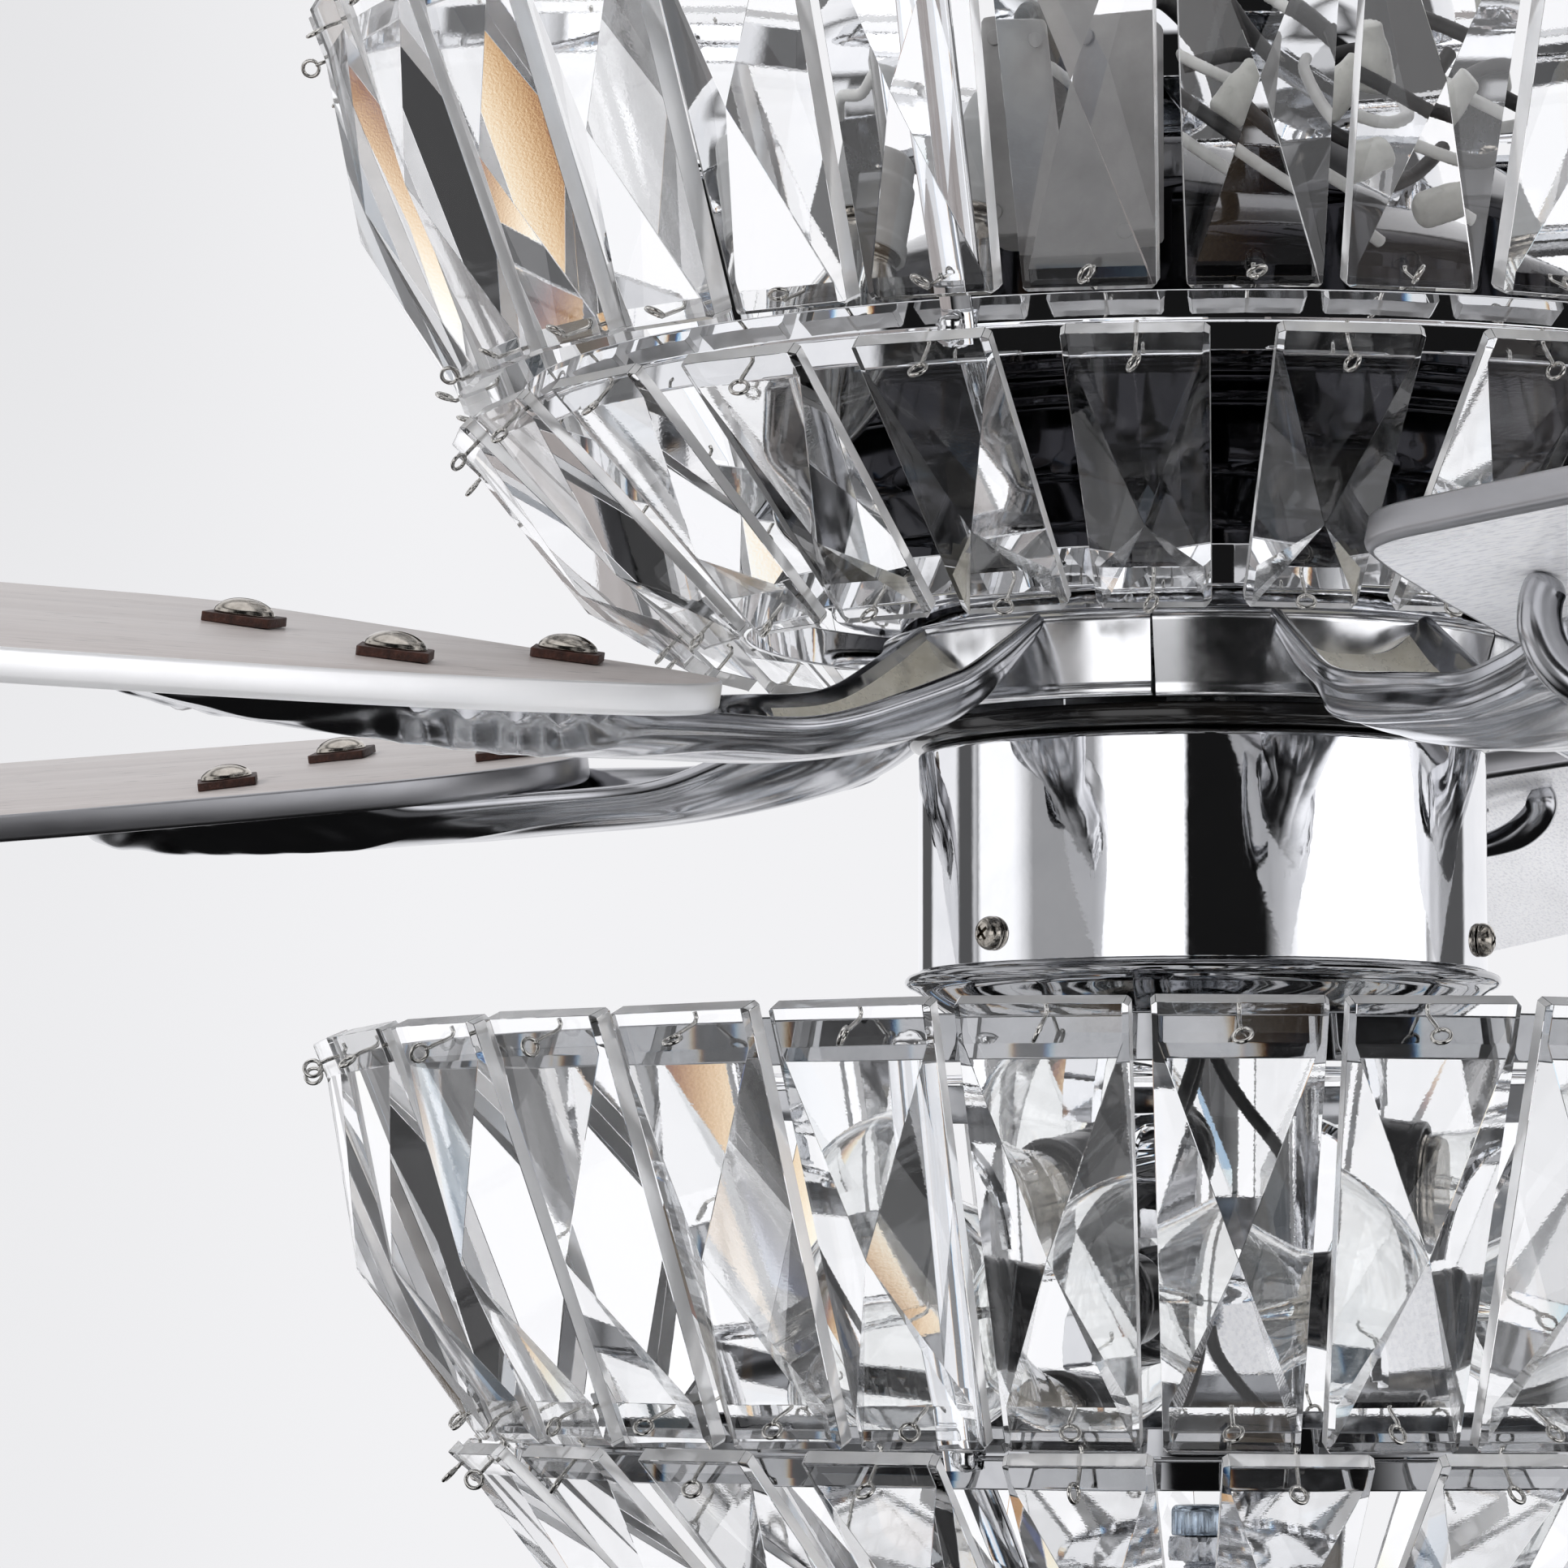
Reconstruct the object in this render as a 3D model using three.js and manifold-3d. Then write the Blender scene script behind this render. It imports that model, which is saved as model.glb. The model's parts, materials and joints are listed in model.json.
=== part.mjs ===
// Five-blade ceiling fan with an upper and a lower crystal bowl.
// Millimetres, +Z up. The origin is the middle of the ceiling bracket's top face, which lies on the ceiling;
// everything hangs below it. -Y is the front. Azimuths are counted from -Y towards +X.
import * as THREE from "three";
import { mergeVertices } from "three/addons/utils/BufferGeometryUtils.js";
import Module from "manifold-3d";

const wasm = await Module();
wasm.setup();

// ---------- driving dimensions ----------
const CEILING = 485; // height of the ceiling over the datum that the sections below are drawn from
const GAP = 0.3; // clearance between pieces that touch
const BLADES = 5;
const BLADE_AZIMUTH = -44.5; // first blade; the others follow every 72 degrees
const BLADE_PITCH = 12.3;
const BLADE_DROOP = 0.85; // outer ends hang a little lower
const BLADE_TIP_R = 660; // 52 inch sweep
const BLADE_ROOT_R = 143;
const BLADE_THICK = 7;
const BLADE_TOP = 147; // height of the blade's top plane on its centre line, carried in to the axis
const LONG_COUNT = 32; // long crystals in each bowl
const SHORT_COUNT = 24; // short crystals in each bowl
const BASE_COUNT = 16; // crystals that close the lower bowl's bottom
const BOWL_DROP = 236.6; // lower bowl's long tier below the upper bowl's
const SHORT_DROP = 232.4; // the same for the short tiers
const CAN_R = 100; // motor can
const HOUSING_R = 65.8; // switch housing
const PIPE_R = 4.9; // threaded lamp pipe
const ROD_R = 10.65; // downrod
const BALL_Z = -34; // centre of the hanger ball, which the fan tilts about

const D2R = Math.PI / 180;
const V = (x, y, z) => new THREE.Vector3(x, y, z);

// ---------- solids ----------
function solid(g) {
  const n = g.index ? g.toNonIndexed() : g.clone();
  const p = new THREE.BufferGeometry().setAttribute("position", n.getAttribute("position"));
  const m = mergeVertices(p, 1e-4);
  return new wasm.Manifold(
    new wasm.Mesh({ numProp: 3, vertProperties: m.attributes.position.array, triVerts: new Uint32Array(m.index.array) }),
  );
}
function geometry(s) {
  const m = s.getMesh(), n = m.numProp, v = new Float32Array(m.numVert * 3);
  for (let i = 0; i < m.numVert; i++) v.set(m.vertProperties.subarray(i * n, i * n + 3), i * 3);
  return new THREE.BufferGeometry()
    .setAttribute("position", new THREE.BufferAttribute(v, 3))
    .setIndex(new THREE.BufferAttribute(m.triVerts.slice(), 1));
}
const join = (list) => geometry(list.map(solid).reduce((a, b) => a.add(b)));
const cut = (g, list) => geometry(list.map(solid).reduce((a, b) => a.subtract(b), solid(g)));

// A turned piece from a closed outline of [radius, height] points, counter-clockwise.
function turned(outline, segments) {
  const pts = outline.map(([r, h]) => new THREE.Vector2(r, h));
  let area = 0;
  pts.forEach((a, i) => {
    const b = pts[(i + 1) % pts.length];
    area += a.x * b.y - b.x * a.y;
  });
  if (area < 0) pts.reverse();
  pts.push(pts[0].clone());
  const g = new THREE.LatheGeometry(pts, segments);
  g.rotateX(Math.PI / 2); // the lathe turns about Y
  return fix(g);
}
// A turned piece whose outline starts and ends on the axis.
function spun(outline, segments) {
  const g = new THREE.LatheGeometry(outline.map(([r, h]) => new THREE.Vector2(r, h)), segments);
  g.rotateX(Math.PI / 2);
  return fix(g);
}
// Merged vertices and faces that point out.
function fix(g) {
  const n = g.index ? g.toNonIndexed() : g;
  const p = new THREE.BufferGeometry().setAttribute("position", n.getAttribute("position"));
  const m = mergeVertices(p, 1e-4);
  const idx = [];
  const a = m.index.array;
  for (let i = 0; i < a.length; i += 3)
    if (a[i] !== a[i + 1] && a[i + 1] !== a[i + 2] && a[i] !== a[i + 2]) idx.push(a[i], a[i + 1], a[i + 2]);
  const q = m.attributes.position;
  let vol = 0;
  const A = V(), B = V(), C = V();
  for (let i = 0; i < idx.length; i += 3) {
    A.fromBufferAttribute(q, idx[i]); B.fromBufferAttribute(q, idx[i + 1]); C.fromBufferAttribute(q, idx[i + 2]);
    vol += A.dot(B.clone().cross(C));
  }
  if (vol < 0) for (let i = 0; i < idx.length; i += 3) [idx[i + 1], idx[i + 2]] = [idx[i + 2], idx[i + 1]];
  m.setIndex(idx);
  return m;
}
const box = (x, y, z, cx = 0, cy = 0, cz = 0) => new THREE.BoxGeometry(x, y, z).translate(cx, cy, cz);
// A round bar between two points.
function bar(a, b, r, sides = 12, r2 = r) {
  const d = b.clone().sub(a);
  const g = new THREE.CylinderGeometry(r2, r, d.length(), sides);
  g.applyQuaternion(new THREE.Quaternion().setFromUnitVectors(V(0, 1, 0), d.clone().normalize()));
  return g.translate((a.x + b.x) / 2, (a.y + b.y) / 2, (a.z + b.z) / 2);
}
// Loft through closed rings of points, all with the same count, with flat ends.
function loft(rings) {
  const n = rings[0].length, pos = [], idx = [];
  rings.forEach((ring) => ring.forEach((p) => pos.push(p.x, p.y, p.z)));
  for (let k = 0; k + 1 < rings.length; k++)
    for (let i = 0; i < n; i++) {
      const j = (i + 1) % n, a = k * n + i, b = k * n + j, c = a + n, d = b + n;
      idx.push(a, b, d, a, d, c);
    }
  const capTris = (ring, flip, base) => {
    // project the end ring on its own plane and triangulate it
    const o = ring[0], nrm = V(), e = V();
    for (let i = 0; i < n; i++) nrm.add(ring[i].clone().sub(o).cross(ring[(i + 1) % n].clone().sub(o)));
    nrm.normalize();
    e.copy(ring[1]).sub(o).normalize();
    const f = nrm.clone().cross(e);
    const flat = ring.map((p) => new THREE.Vector2(p.clone().sub(o).dot(e), p.clone().sub(o).dot(f)));
    THREE.ShapeUtils.triangulateShape(flat, []).forEach(([a, b, c]) =>
      flip ? idx.push(base + a, base + c, base + b) : idx.push(base + a, base + b, base + c));
  };
  capTris(rings[0], true, 0);
  capTris(rings[rings.length - 1], false, (rings.length - 1) * n);
  const g = new THREE.BufferGeometry();
  g.setAttribute("position", new THREE.Float32BufferAttribute(pos, 3));
  g.setIndex(idx);
  return fix(g);
}
// A wire or tube along points, with flat ends.
function tube(points, r, sides = 8, steps = 30) {
  const shape = new THREE.Shape();
  for (let i = 0; i < sides; i++) {
    const a = (i / sides) * 2 * Math.PI;
    i ? shape.lineTo(r * Math.cos(a), r * Math.sin(a)) : shape.moveTo(r, 0);
  }
  const path = new THREE.CatmullRomCurve3(points);
  return fix(new THREE.ExtrudeGeometry(shape, { steps, bevelEnabled: false, extrudePath: path }));
}
const polar = (r, deg, h) => V(r * Math.sin(deg * D2R), -r * Math.cos(deg * D2R), h);

// ---------- scene graph ----------
const fan = new THREE.Group();
const lowered = new THREE.Group(); // sections drawn over the datum
lowered.position.z = -CEILING;
fan.add(lowered);
function piece(name, g, color, roughness, metalness, parent = lowered) {
  g.computeVertexNormals();
  const m = new THREE.Mesh(g, new THREE.MeshStandardMaterial({ color, roughness, metalness }));
  m.name = name;
  parent.add(m);
  return m;
}
const CHROME = [0xd8dadd, 0.06, 1.0];
const NICKEL = [0xa8a49a, 0.28, 1.0];
const ZINC = [0xb9bcbe, 0.35, 1.0];
const STEEL = [0x8b8d90, 0.4, 1.0];
const CRYSTAL = [0xf4f8fa, 0.02, 0.0];
const CLEAR = [0xf0f4f6, 0.03, 0.0];
const BLACK = [0x101012, 0.35, 0.1];
const WOOD = [0x9a8780, 0.5, 0.0];
const WHITE = [0xc9ccce, 0.5, 0.0];

// ---------- ceiling bracket, canopy and hanger ----------
{
  // flat top plate, two side legs, and a seat ring that the ball sits in
  const plate = cut(box(100, 40, 2.4, 0, 0, -1.2), [
    bar(V(-38, 0, -3), V(-38, 0, 1), 2.6, 12), bar(V(38, 0, -3), V(38, 0, 1), 2.6, 12), bar(V(19, 0, -3), V(19, 0, 1), 7, 14)]);
  const legs = [-1, 1].map((s) => box(2.4, 34, 47, s * 32.8, 0, -24.5));
  const seat = turned([[24.3, -47.5], [34, -47.5], [34, -44], [26, -44]], 20);
  const ears = [-1, 1].map((s) => cut(box(19.6, 12, 2.4, s * 43, 0, -37.3), [bar(V(s * 48.5, 0, -40), V(s * 48.5, 0, -34), 2.2, 10)]));
  piece("ceiling_bracket", join([plate, ...legs, seat, ...ears]), ...ZINC, fan);
}
{
  const canopy = turned([
    [70, -1], [70, -10], [66, -26], [54, -41.5], [38, -50.5], [24, -53.5], [24, -52],
    [37.5, -49], [53, -40.3], [64.6, -25.6], [68.5, -9.8], [68.5, -1]], 28);
  const holes = [-1, 1].map((s) => bar(V(s * 48.5, 0, -60), V(s * 48.5, 0, -30), 2.3, 10));
  piece("canopy", cut(canopy, holes), ...CHROME, fan);
  [-1, 1].forEach((s, i) => {
    const head = spun([[0, -4.6], [2.2, -4.2], [3.8, -2.6], [3.9, -1.6], [1.9, -1.6], [1.9, 8], [0, 8]], 12);
    head.translate(s * 48.5, 0, -45.6);
    piece("canopy_screw_" + (i + 1), head, ...NICKEL, fan);
  });
}
{
  // ball with a through bore and a cut-off top
  const ball = new THREE.SphereGeometry(27, 16, 10).rotateX(Math.PI / 2);
  ball.translate(0, 0, BALL_Z);
  const pin = bar(V(-24, 0, BALL_Z + 12), V(24, 0, BALL_Z + 12), 3.3, 12);
  piece("hanger_ball", cut(ball, [
    bar(V(0, 0, BALL_Z - 40), V(0, 0, BALL_Z + 40), ROD_R + GAP, 16),
    box(80, 80, 20, 0, 0, BALL_Z + 30.5), pin]), ...BLACK, fan);
  piece("ball_pin", bar(V(-19, 0, BALL_Z + 12), V(19, 0, BALL_Z + 12), 3, 10), ...STEEL, fan);
  const rod = turned([[ROD_R, 282.6], [ROD_R, 468.5], [ROD_R - 2.2, 468.5], [ROD_R - 2.2, 282.6]], 16);
  piece("downrod", cut(rod, [
    bar(V(-24, 0, CEILING + BALL_Z + 12), V(24, 0, CEILING + BALL_Z + 12), 3.3, 12),
    bar(V(-24, 0, 298), V(24, 0, 298), 3.3, 12)]), ...CHROME);
}
{
  // collar that joins the downrod to the motor shaft
  const yoke = turned([[8.3, 271], [17, 271], [17, 278], [15, 278], [15, 312], [11, 312], [11, 282], [8.3, 282]], 16);
  piece("motor_yoke", cut(yoke, [bar(V(-24, 0, 298), V(24, 0, 298), 3.3, 12)]), ...ZINC);
  piece("yoke_pin", bar(V(-19, 0, 298), V(19, 0, 298), 3, 10), ...STEEL);
  piece("coupling_cover", turned([
    [58, 284], [56, 296], [42, 311], [22, 322], [14, 333], [11.2, 333],
    [21, 320.4], [41, 309.7], [54.6, 295.4], [56.6, 284]], 24), ...CHROME);
}

// ---------- motor ----------
piece("motor_shaft", turned([[8, 134], [8, 281.7], [5.6, 281.7], [5.6, 134]], 16), ...STEEL);
piece("stator", turned([[8.3, 188], [26, 188], [26, 198], [74, 198], [74, 230],
  [26, 230], [26, 246], [8.3, 246]], 24), 0x4a3a30, 0.6, 0.4);
piece("upper_bearing", turned([[8.3, 262], [18, 262], [18, 269.6], [8.3, 269.6]], 16), ...STEEL);
piece("lower_bearing", turned([[8.3, 164], [18, 164], [18, 172], [8.3, 172]], 16), ...STEEL);
piece("motor_can", turned([
  [18.4, 269.6], [72, 269.6], [CAN_R, 252], [CAN_R, 188], [88, 178], [88, 171],
  [85.6, 171], [85.6, 179.6], [97.6, 189.2], [97.6, 250.7], [71.3, 267.2], [18.4, 267.2]], 28),
  0x3a3c40, 0.08, 1.0);
piece("rotor_hub", turned([
  [18.4, 162.2], [70, 162.2], [70, 167.5], [86, 168.2], [86, 170.7], [18.4, 170.7]], 28), ...CHROME);

// ---------- blade irons, blades and their screws ----------
// Stations along an iron: distance from the axis, half width, rim height, underside height, share of the pitch.
const IRON = [
  [71.8, 20, 161.6, 150.0, 0],
  [82, 20.5, 155.0, 139.8, 0],
  [97, 21, 146.5, 132.8, 0.05],
  [118, 19.5, 141.0, 128.4, 0.35],
  [142, 17.5, 137.4, 125.9, 1],
  [172, 23, 136.9, 124.9, 1],
  [205, 33, 136.4, 124.0, 1],
  [240, 41, 135.9, 125.0, 1],
  [268, 42, 135.5, 127.0, 1],
  [292, 31, 135.1, 129.0, 1],
  [313, 11, 134.8, 131.0, 1],
];
function frameAt(r, az, share) {
  const er = polar(1, az, 0), et = V(Math.cos(az * D2R), Math.sin(az * D2R), 0);
  const b = BLADE_PITCH * share * D2R;
  const ew = et.clone().multiplyScalar(Math.cos(b)).add(V(0, 0, -Math.sin(b)));
  const en = er.clone().cross(et).negate().multiplyScalar(-1);
  const up = ew.clone().cross(er).normalize();
  if (up.z < 0) up.negate();
  return { er, ew, up };
}
function ironGeometry(az) {
  const rings = IRON.map(([r, w, top, bot, share]) => {
    const { er, ew, up } = frameAt(r, az, share);
    const deep = top - bot, wall = Math.min(2.6, deep * 0.4);
    const under = r > 160; // under the blade the channel is closed by a flat pad
    const hollow = under ? 0.02 : deep - wall;
    // section: outer U from one rim to the other, then back along the inside
    const sec = [
      [-w, deep], [-w * 0.74, deep * 0.24], [0, 0], [w * 0.74, deep * 0.24], [w, deep],
      [w - wall, deep], [(w - wall) * 0.62, deep - hollow * 0.8], [-(w - wall) * 0.62, deep - hollow * 0.8], [-(w - wall), deep],
    ];
    const origin = er.clone().multiplyScalar(r).add(V(0, 0, bot));
    return sec.map(([t, h]) => origin.clone().addScaledVector(ew, t).addScaledVector(up, h));
  });
  const channel = loft(rings);
  // curved skirt that meets its neighbours' midway between the irons, and the flange that bolts to the hub
  const sector = (r0, r1, h0, h1, half, n) => {
    const sh = new THREE.Shape();
    for (let i = 0; i <= n; i++) {
      const a = -half + (2 * half * i) / n, p = polar(r1, az + a, 0);
      i ? sh.lineTo(p.x, p.y) : sh.moveTo(p.x, p.y);
    }
    for (let i = n; i >= 0; i--) {
      const a = -half + (2 * half * i) / n, p = polar(r0, az + a, 0);
      sh.lineTo(p.x, p.y);
    }
    return fix(new THREE.ExtrudeGeometry(sh, { depth: h1 - h0, steps: 1, bevelEnabled: false, curveSegments: 1 }).translate(0, 0, h0));
  };
  return join([channel, sector(72, 75, 142.4, 161.8, 35.75, 6), sector(42, 74, 158.6, 161.8, 28, 4)]);
}
// Blade outline: distance along the blade and offset across it, the wide leading side first; all corners are rounded.
const OUTLINE = [[163.5, 16], [164.5, 7], [173, -6], [189, -32], [203, -55], [216, -74], [224, -81.5], [236, -84.5], [262, -85], [400, -84],
  [600, -81], [634, -76], [650, -66], [658, -49], [BLADE_TIP_R, -22], [BLADE_TIP_R, 14], [657, 40], [648, 56], [632, 64], [600, 67], [400, 64],
  [300, 59], [250, 52], [216, 45], [200, 41], [188, 36.5], [177, 30.5], [168, 23.5]];
const SCREWS = [[192, 0], [258.5, -26], [258.5, 26]];
// Axes of a blade: along it, across it towards its lower side, and up from its top face.
function bladeMatrix(az) {
  const d = BLADE_DROOP * D2R, b = BLADE_PITCH * D2R;
  const er = polar(Math.cos(d), az, -Math.sin(d)), up0 = polar(Math.sin(d), az, Math.cos(d));
  const et = V(Math.cos(az * D2R), Math.sin(az * D2R), 0);
  const ew = et.clone().multiplyScalar(Math.cos(b)).addScaledVector(up0, -Math.sin(b));
  const up = et.clone().multiplyScalar(Math.sin(b)).addScaledVector(up0, Math.cos(b));
  return new THREE.Matrix4().makeBasis(er, ew, up).setPosition(0, 0, BLADE_TOP);
}
function bladeGeometry(az) {
  const sh = new THREE.Shape();
  OUTLINE.forEach(([r, t], i) => (i ? sh.lineTo(r, t) : sh.moveTo(r, t)));
  const g = new THREE.ExtrudeGeometry(sh, { depth: BLADE_THICK, steps: 1, bevelEnabled: false, curveSegments: 1 });
  g.translate(0, 0, -BLADE_THICK);
  const drilled = cut(fix(g), SCREWS.map(([r, t]) => bar(V(r, t, -10), V(r, t, 5), 2.9, 8)));
  return fix(drilled.applyMatrix4(bladeMatrix(az)));
}
// The three screws of a blade and their fibre washers, tied by a thin web under the heads.
function screwsGeometry(az) {
  const m = bladeMatrix(az);
  const parts = [];
  SCREWS.forEach(([r, t]) => {
    parts.push(box(15, 15, 1.4, r, t, GAP + 0.7));
    parts.push(spun([[0, -BLADE_THICK + 0.4], [2.4, -BLADE_THICK + 0.4], [2.4, 1.5], [6, 1.5], [4.6, 4], [0, 5]], 8).translate(r, t, 0));
  });
  SCREWS.slice(1).forEach(([r, t]) => {
    const a = SCREWS[0], d = Math.hypot(r - a[0], t - a[1]);
    const g = box(d, 3, 0.8, 0, 0, GAP + 0.4).rotateZ(Math.atan2(t - a[1], r - a[0]));
    parts.push(g.translate((r + a[0]) / 2, (t + a[1]) / 2, 0));
  });
  return fix(join(parts).applyMatrix4(m));
}
for (let i = 0; i < BLADES; i++) {
  const az = BLADE_AZIMUTH - (360 / BLADES) * i;
  piece("blade_iron_" + (i + 1), ironGeometry(az), ...CHROME);
  piece("blade_" + (i + 1), bladeGeometry(az), ...WOOD);
  piece("blade_screws_" + (i + 1), screwsGeometry(az), ...NICKEL);
}

// ---------- switch housing and lamp pan ----------
piece("switch_plate", turned([[8.3, 136.6], [66, 136.6], [68, 138], [68, 141.6], [8.3, 141.6]], 24), ...BLACK);
{
  const az = [-45.7, 74.3, 194.3];
  const shell = turned([
    [8.3, 136.3], [HOUSING_R - 1, 136.3], [HOUSING_R, 135.3], [HOUSING_R, 85], [HOUSING_R - 1.4, 85], [HOUSING_R - 1.4, 134.9], [8.3, 134.9]], 28);
  const holes = az.map((a) => bar(polar(50, a, 91.5), polar(80, a, 91.5), 2.5, 10));
  piece("switch_housing", cut(shell, holes), ...CHROME);
  const pan = turned([
    [5.6, 71.8], [50, 70], [66, 81], [68.3, 81.6], [68.3, 84.4], [64.1, 84.4],
    [64.1, 98], [62.9, 98], [62.9, 81], [49.4, 72], [5.6, 73.8]], 28);
  const panHoles = az.map((a) => bar(polar(50, a, 91.5), polar(80, a, 91.5), 2.5, 10));
  piece("fitter_pan", cut(pan, panHoles), ...CHROME);
  az.forEach((a, i) => {
    const s = spun([[0, -7.5], [2.1, -7.5], [2.1, 0.3], [3.6, 0.3], [3.6, 1.2], [3.4, 2.6], [2, 3.5], [0, 3.8]], 12);
    const q = new THREE.Quaternion().setFromUnitVectors(V(0, 0, 1), polar(1, a, 0));
    s.applyQuaternion(q);
    const p = polar(HOUSING_R, a, 91.5);
    piece("housing_screw_" + (i + 1), s.translate(p.x, p.y, p.z), ...NICKEL);
  });
}

// ---------- lamps of the lower bowl ----------
piece("light_pipe", turned([[PIPE_R, 41], [PIPE_R, 81], [3.2, 81], [3.2, 41]], 16), ...ZINC);
const nut = (h0, h1) => cut(bar(V(0, 0, h0), V(0, 0, h1), 9.2, 6), [bar(V(0, 0, h0 - 1), V(0, 0, h1 + 1), PIPE_R + GAP, 16)]);
piece("pipe_nut", nut(54, 60), ...ZINC);
const LAMP_AZ = [-42, 78, 198];
{
  const ring = turned([[PIPE_R + GAP, 50.2], [15, 50.2], [15, 53.6], [PIPE_R + GAP, 53.6]], 24);
  const parts = [ring];
  LAMP_AZ.forEach((a) => {
    // arm that curves down to the socket, and the socket, which points out and a little down
    parts.push(loft([[12, 51.5, 0, 1], [27, 50.5, 0.2, 0.98], [37, 44, 0.75, 0.66], [41, 33, 0.98, 0.2], [41, 18, 1, 0]].map(([r, h, x, z]) => {
      const c = polar(r, a, h), et = V(Math.cos(a * D2R), Math.sin(a * D2R), 0), n = polar(x, a, z);
      return [[-5, -0.9], [5, -0.9], [5, 0.9], [-5, 0.9]].map(([t, k]) => c.clone().addScaledVector(et, t).addScaledVector(n, k));
    })));
    const d = polar(Math.cos(4 * D2R), a, -Math.sin(4 * D2R));
    const s0 = polar(21, a, 10);
    parts.push(bar(s0, s0.clone().addScaledVector(d, 30), 14, 14));
  });
  piece("lamp_cluster", join(parts), ...BLACK);
  LAMP_AZ.forEach((a, i) => {
    const b = spun([[0, 0], [8, 0], [13, 3], [13.4, 10], [22, 26], [28, 38], [28.4, 48], [23, 63], [12, 70.6], [0, 73]], 12);
    const d = polar(Math.cos(4 * D2R), a, -Math.sin(4 * D2R));
    b.applyQuaternion(new THREE.Quaternion().setFromUnitVectors(V(0, 0, 1), d));
    const p = polar(21, a, 10).addScaledVector(d, 30 + GAP);
    piece("lower_bulb_" + (i + 1), b.translate(p.x, p.y, p.z), ...CLEAR);
  });
}

// ---------- lamps and receiver of the upper bowl ----------
const UPPER_LAMP_AZ = [-36, 84, 204];
{
  const parts = [turned([[8.3, 270.2], [30, 270.2], [30, 270.7], [8.3, 270.7]], 20)];
  parts[0] = turned([[17.3, 272.4], [34, 272.4], [34, 274.2], [17.3, 274.2]], 24);
  UPPER_LAMP_AZ.forEach((a) => {
    const et = V(Math.cos(a * D2R), Math.sin(a * D2R), 0);
    parts.push(loft([[30, 273.3, 0, 1], [104, 273.3, 0, 1], [121, 269, 0.5, 0.86]].map(([r, h, x, z]) => {
      const c = polar(r, a, h), n = polar(x, a, z);
      return [[-6, -0.9], [6, -0.9], [6, 0.9], [-6, 0.9]].map(([t, k]) => c.clone().addScaledVector(et, t).addScaledVector(n, k));
    })));
    const d = polar(Math.sin(14 * D2R), a, -Math.cos(14 * D2R));
    const s0 = polar(117, a, 270);
    parts.push(bar(s0, s0.clone().addScaledVector(d, 26), 8.5, 12));
  });
  piece("upper_lamp_plate", join(parts), ...ZINC);
  UPPER_LAMP_AZ.forEach((a, i) => {
    const b = spun([[0, 0], [6, 0], [10, 10], [15, 22], [14.4, 34], [8.4, 48], [0, 57]], 10);
    const d = polar(Math.sin(14 * D2R), a, -Math.cos(14 * D2R));
    b.applyQuaternion(new THREE.Quaternion().setFromUnitVectors(V(0, 0, 1), d));
    const p = polar(117, a, 270).addScaledVector(d, 26 + GAP);
    piece("upper_bulb_" + (i + 1), b.translate(p.x, p.y, p.z), ...CLEAR);
  });
}
const FRAME_AZ = [-13, 107, 227];
{
  const c = polar(121, FRAME_AZ[0], 0);
  const b = fix(box(36, 22, 48).rotateZ(FRAME_AZ[0] * D2R));
  piece("receiver_box", b.translate(c.x, c.y, 260.5), ...WHITE);
}

// ---------- crystal bowls ----------
// Each tier is drawn on the line of its hanging pins: top and bottom point of the line as [radius, height],
// the crystal's length past the pins, its widths, and where its apex stands.
const LONG = { n: LONG_COUNT, a: [200, 301], b: [168, 220.7], over: [7.5, 2.2], w: [35.7, 27.9], at: 0.475, back: -1.2, front: 4.6, apex: 13.3, first: 14.9 };
const SHORT = { n: SHORT_COUNT, a: [171.5, 207], b: [121.5, 160], over: [2.1, 3.6], w: [31.2, 24.5], at: 0.38, back: -2.2, front: 0.9, apex: 8, first: 10.4 };
const BASE = { n: BASE_COUNT, a: [106, -82], b: [42, -97], over: [3, 3], w: [32, 12], at: 0.5, back: -3, front: 3, apex: 7.5, first: 10 };
function tierAxes(t, drop) {
  const A = new THREE.Vector2(t.a[0], t.a[1] - drop), B = new THREE.Vector2(t.b[0], t.b[1] - drop);
  const u = A.clone().sub(B).normalize(); // up along the crystal
  const n = new THREE.Vector2(u.y, -u.x); // out of the bowl
  return { A, B, u, n, len: A.distanceTo(B) };
}
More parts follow.
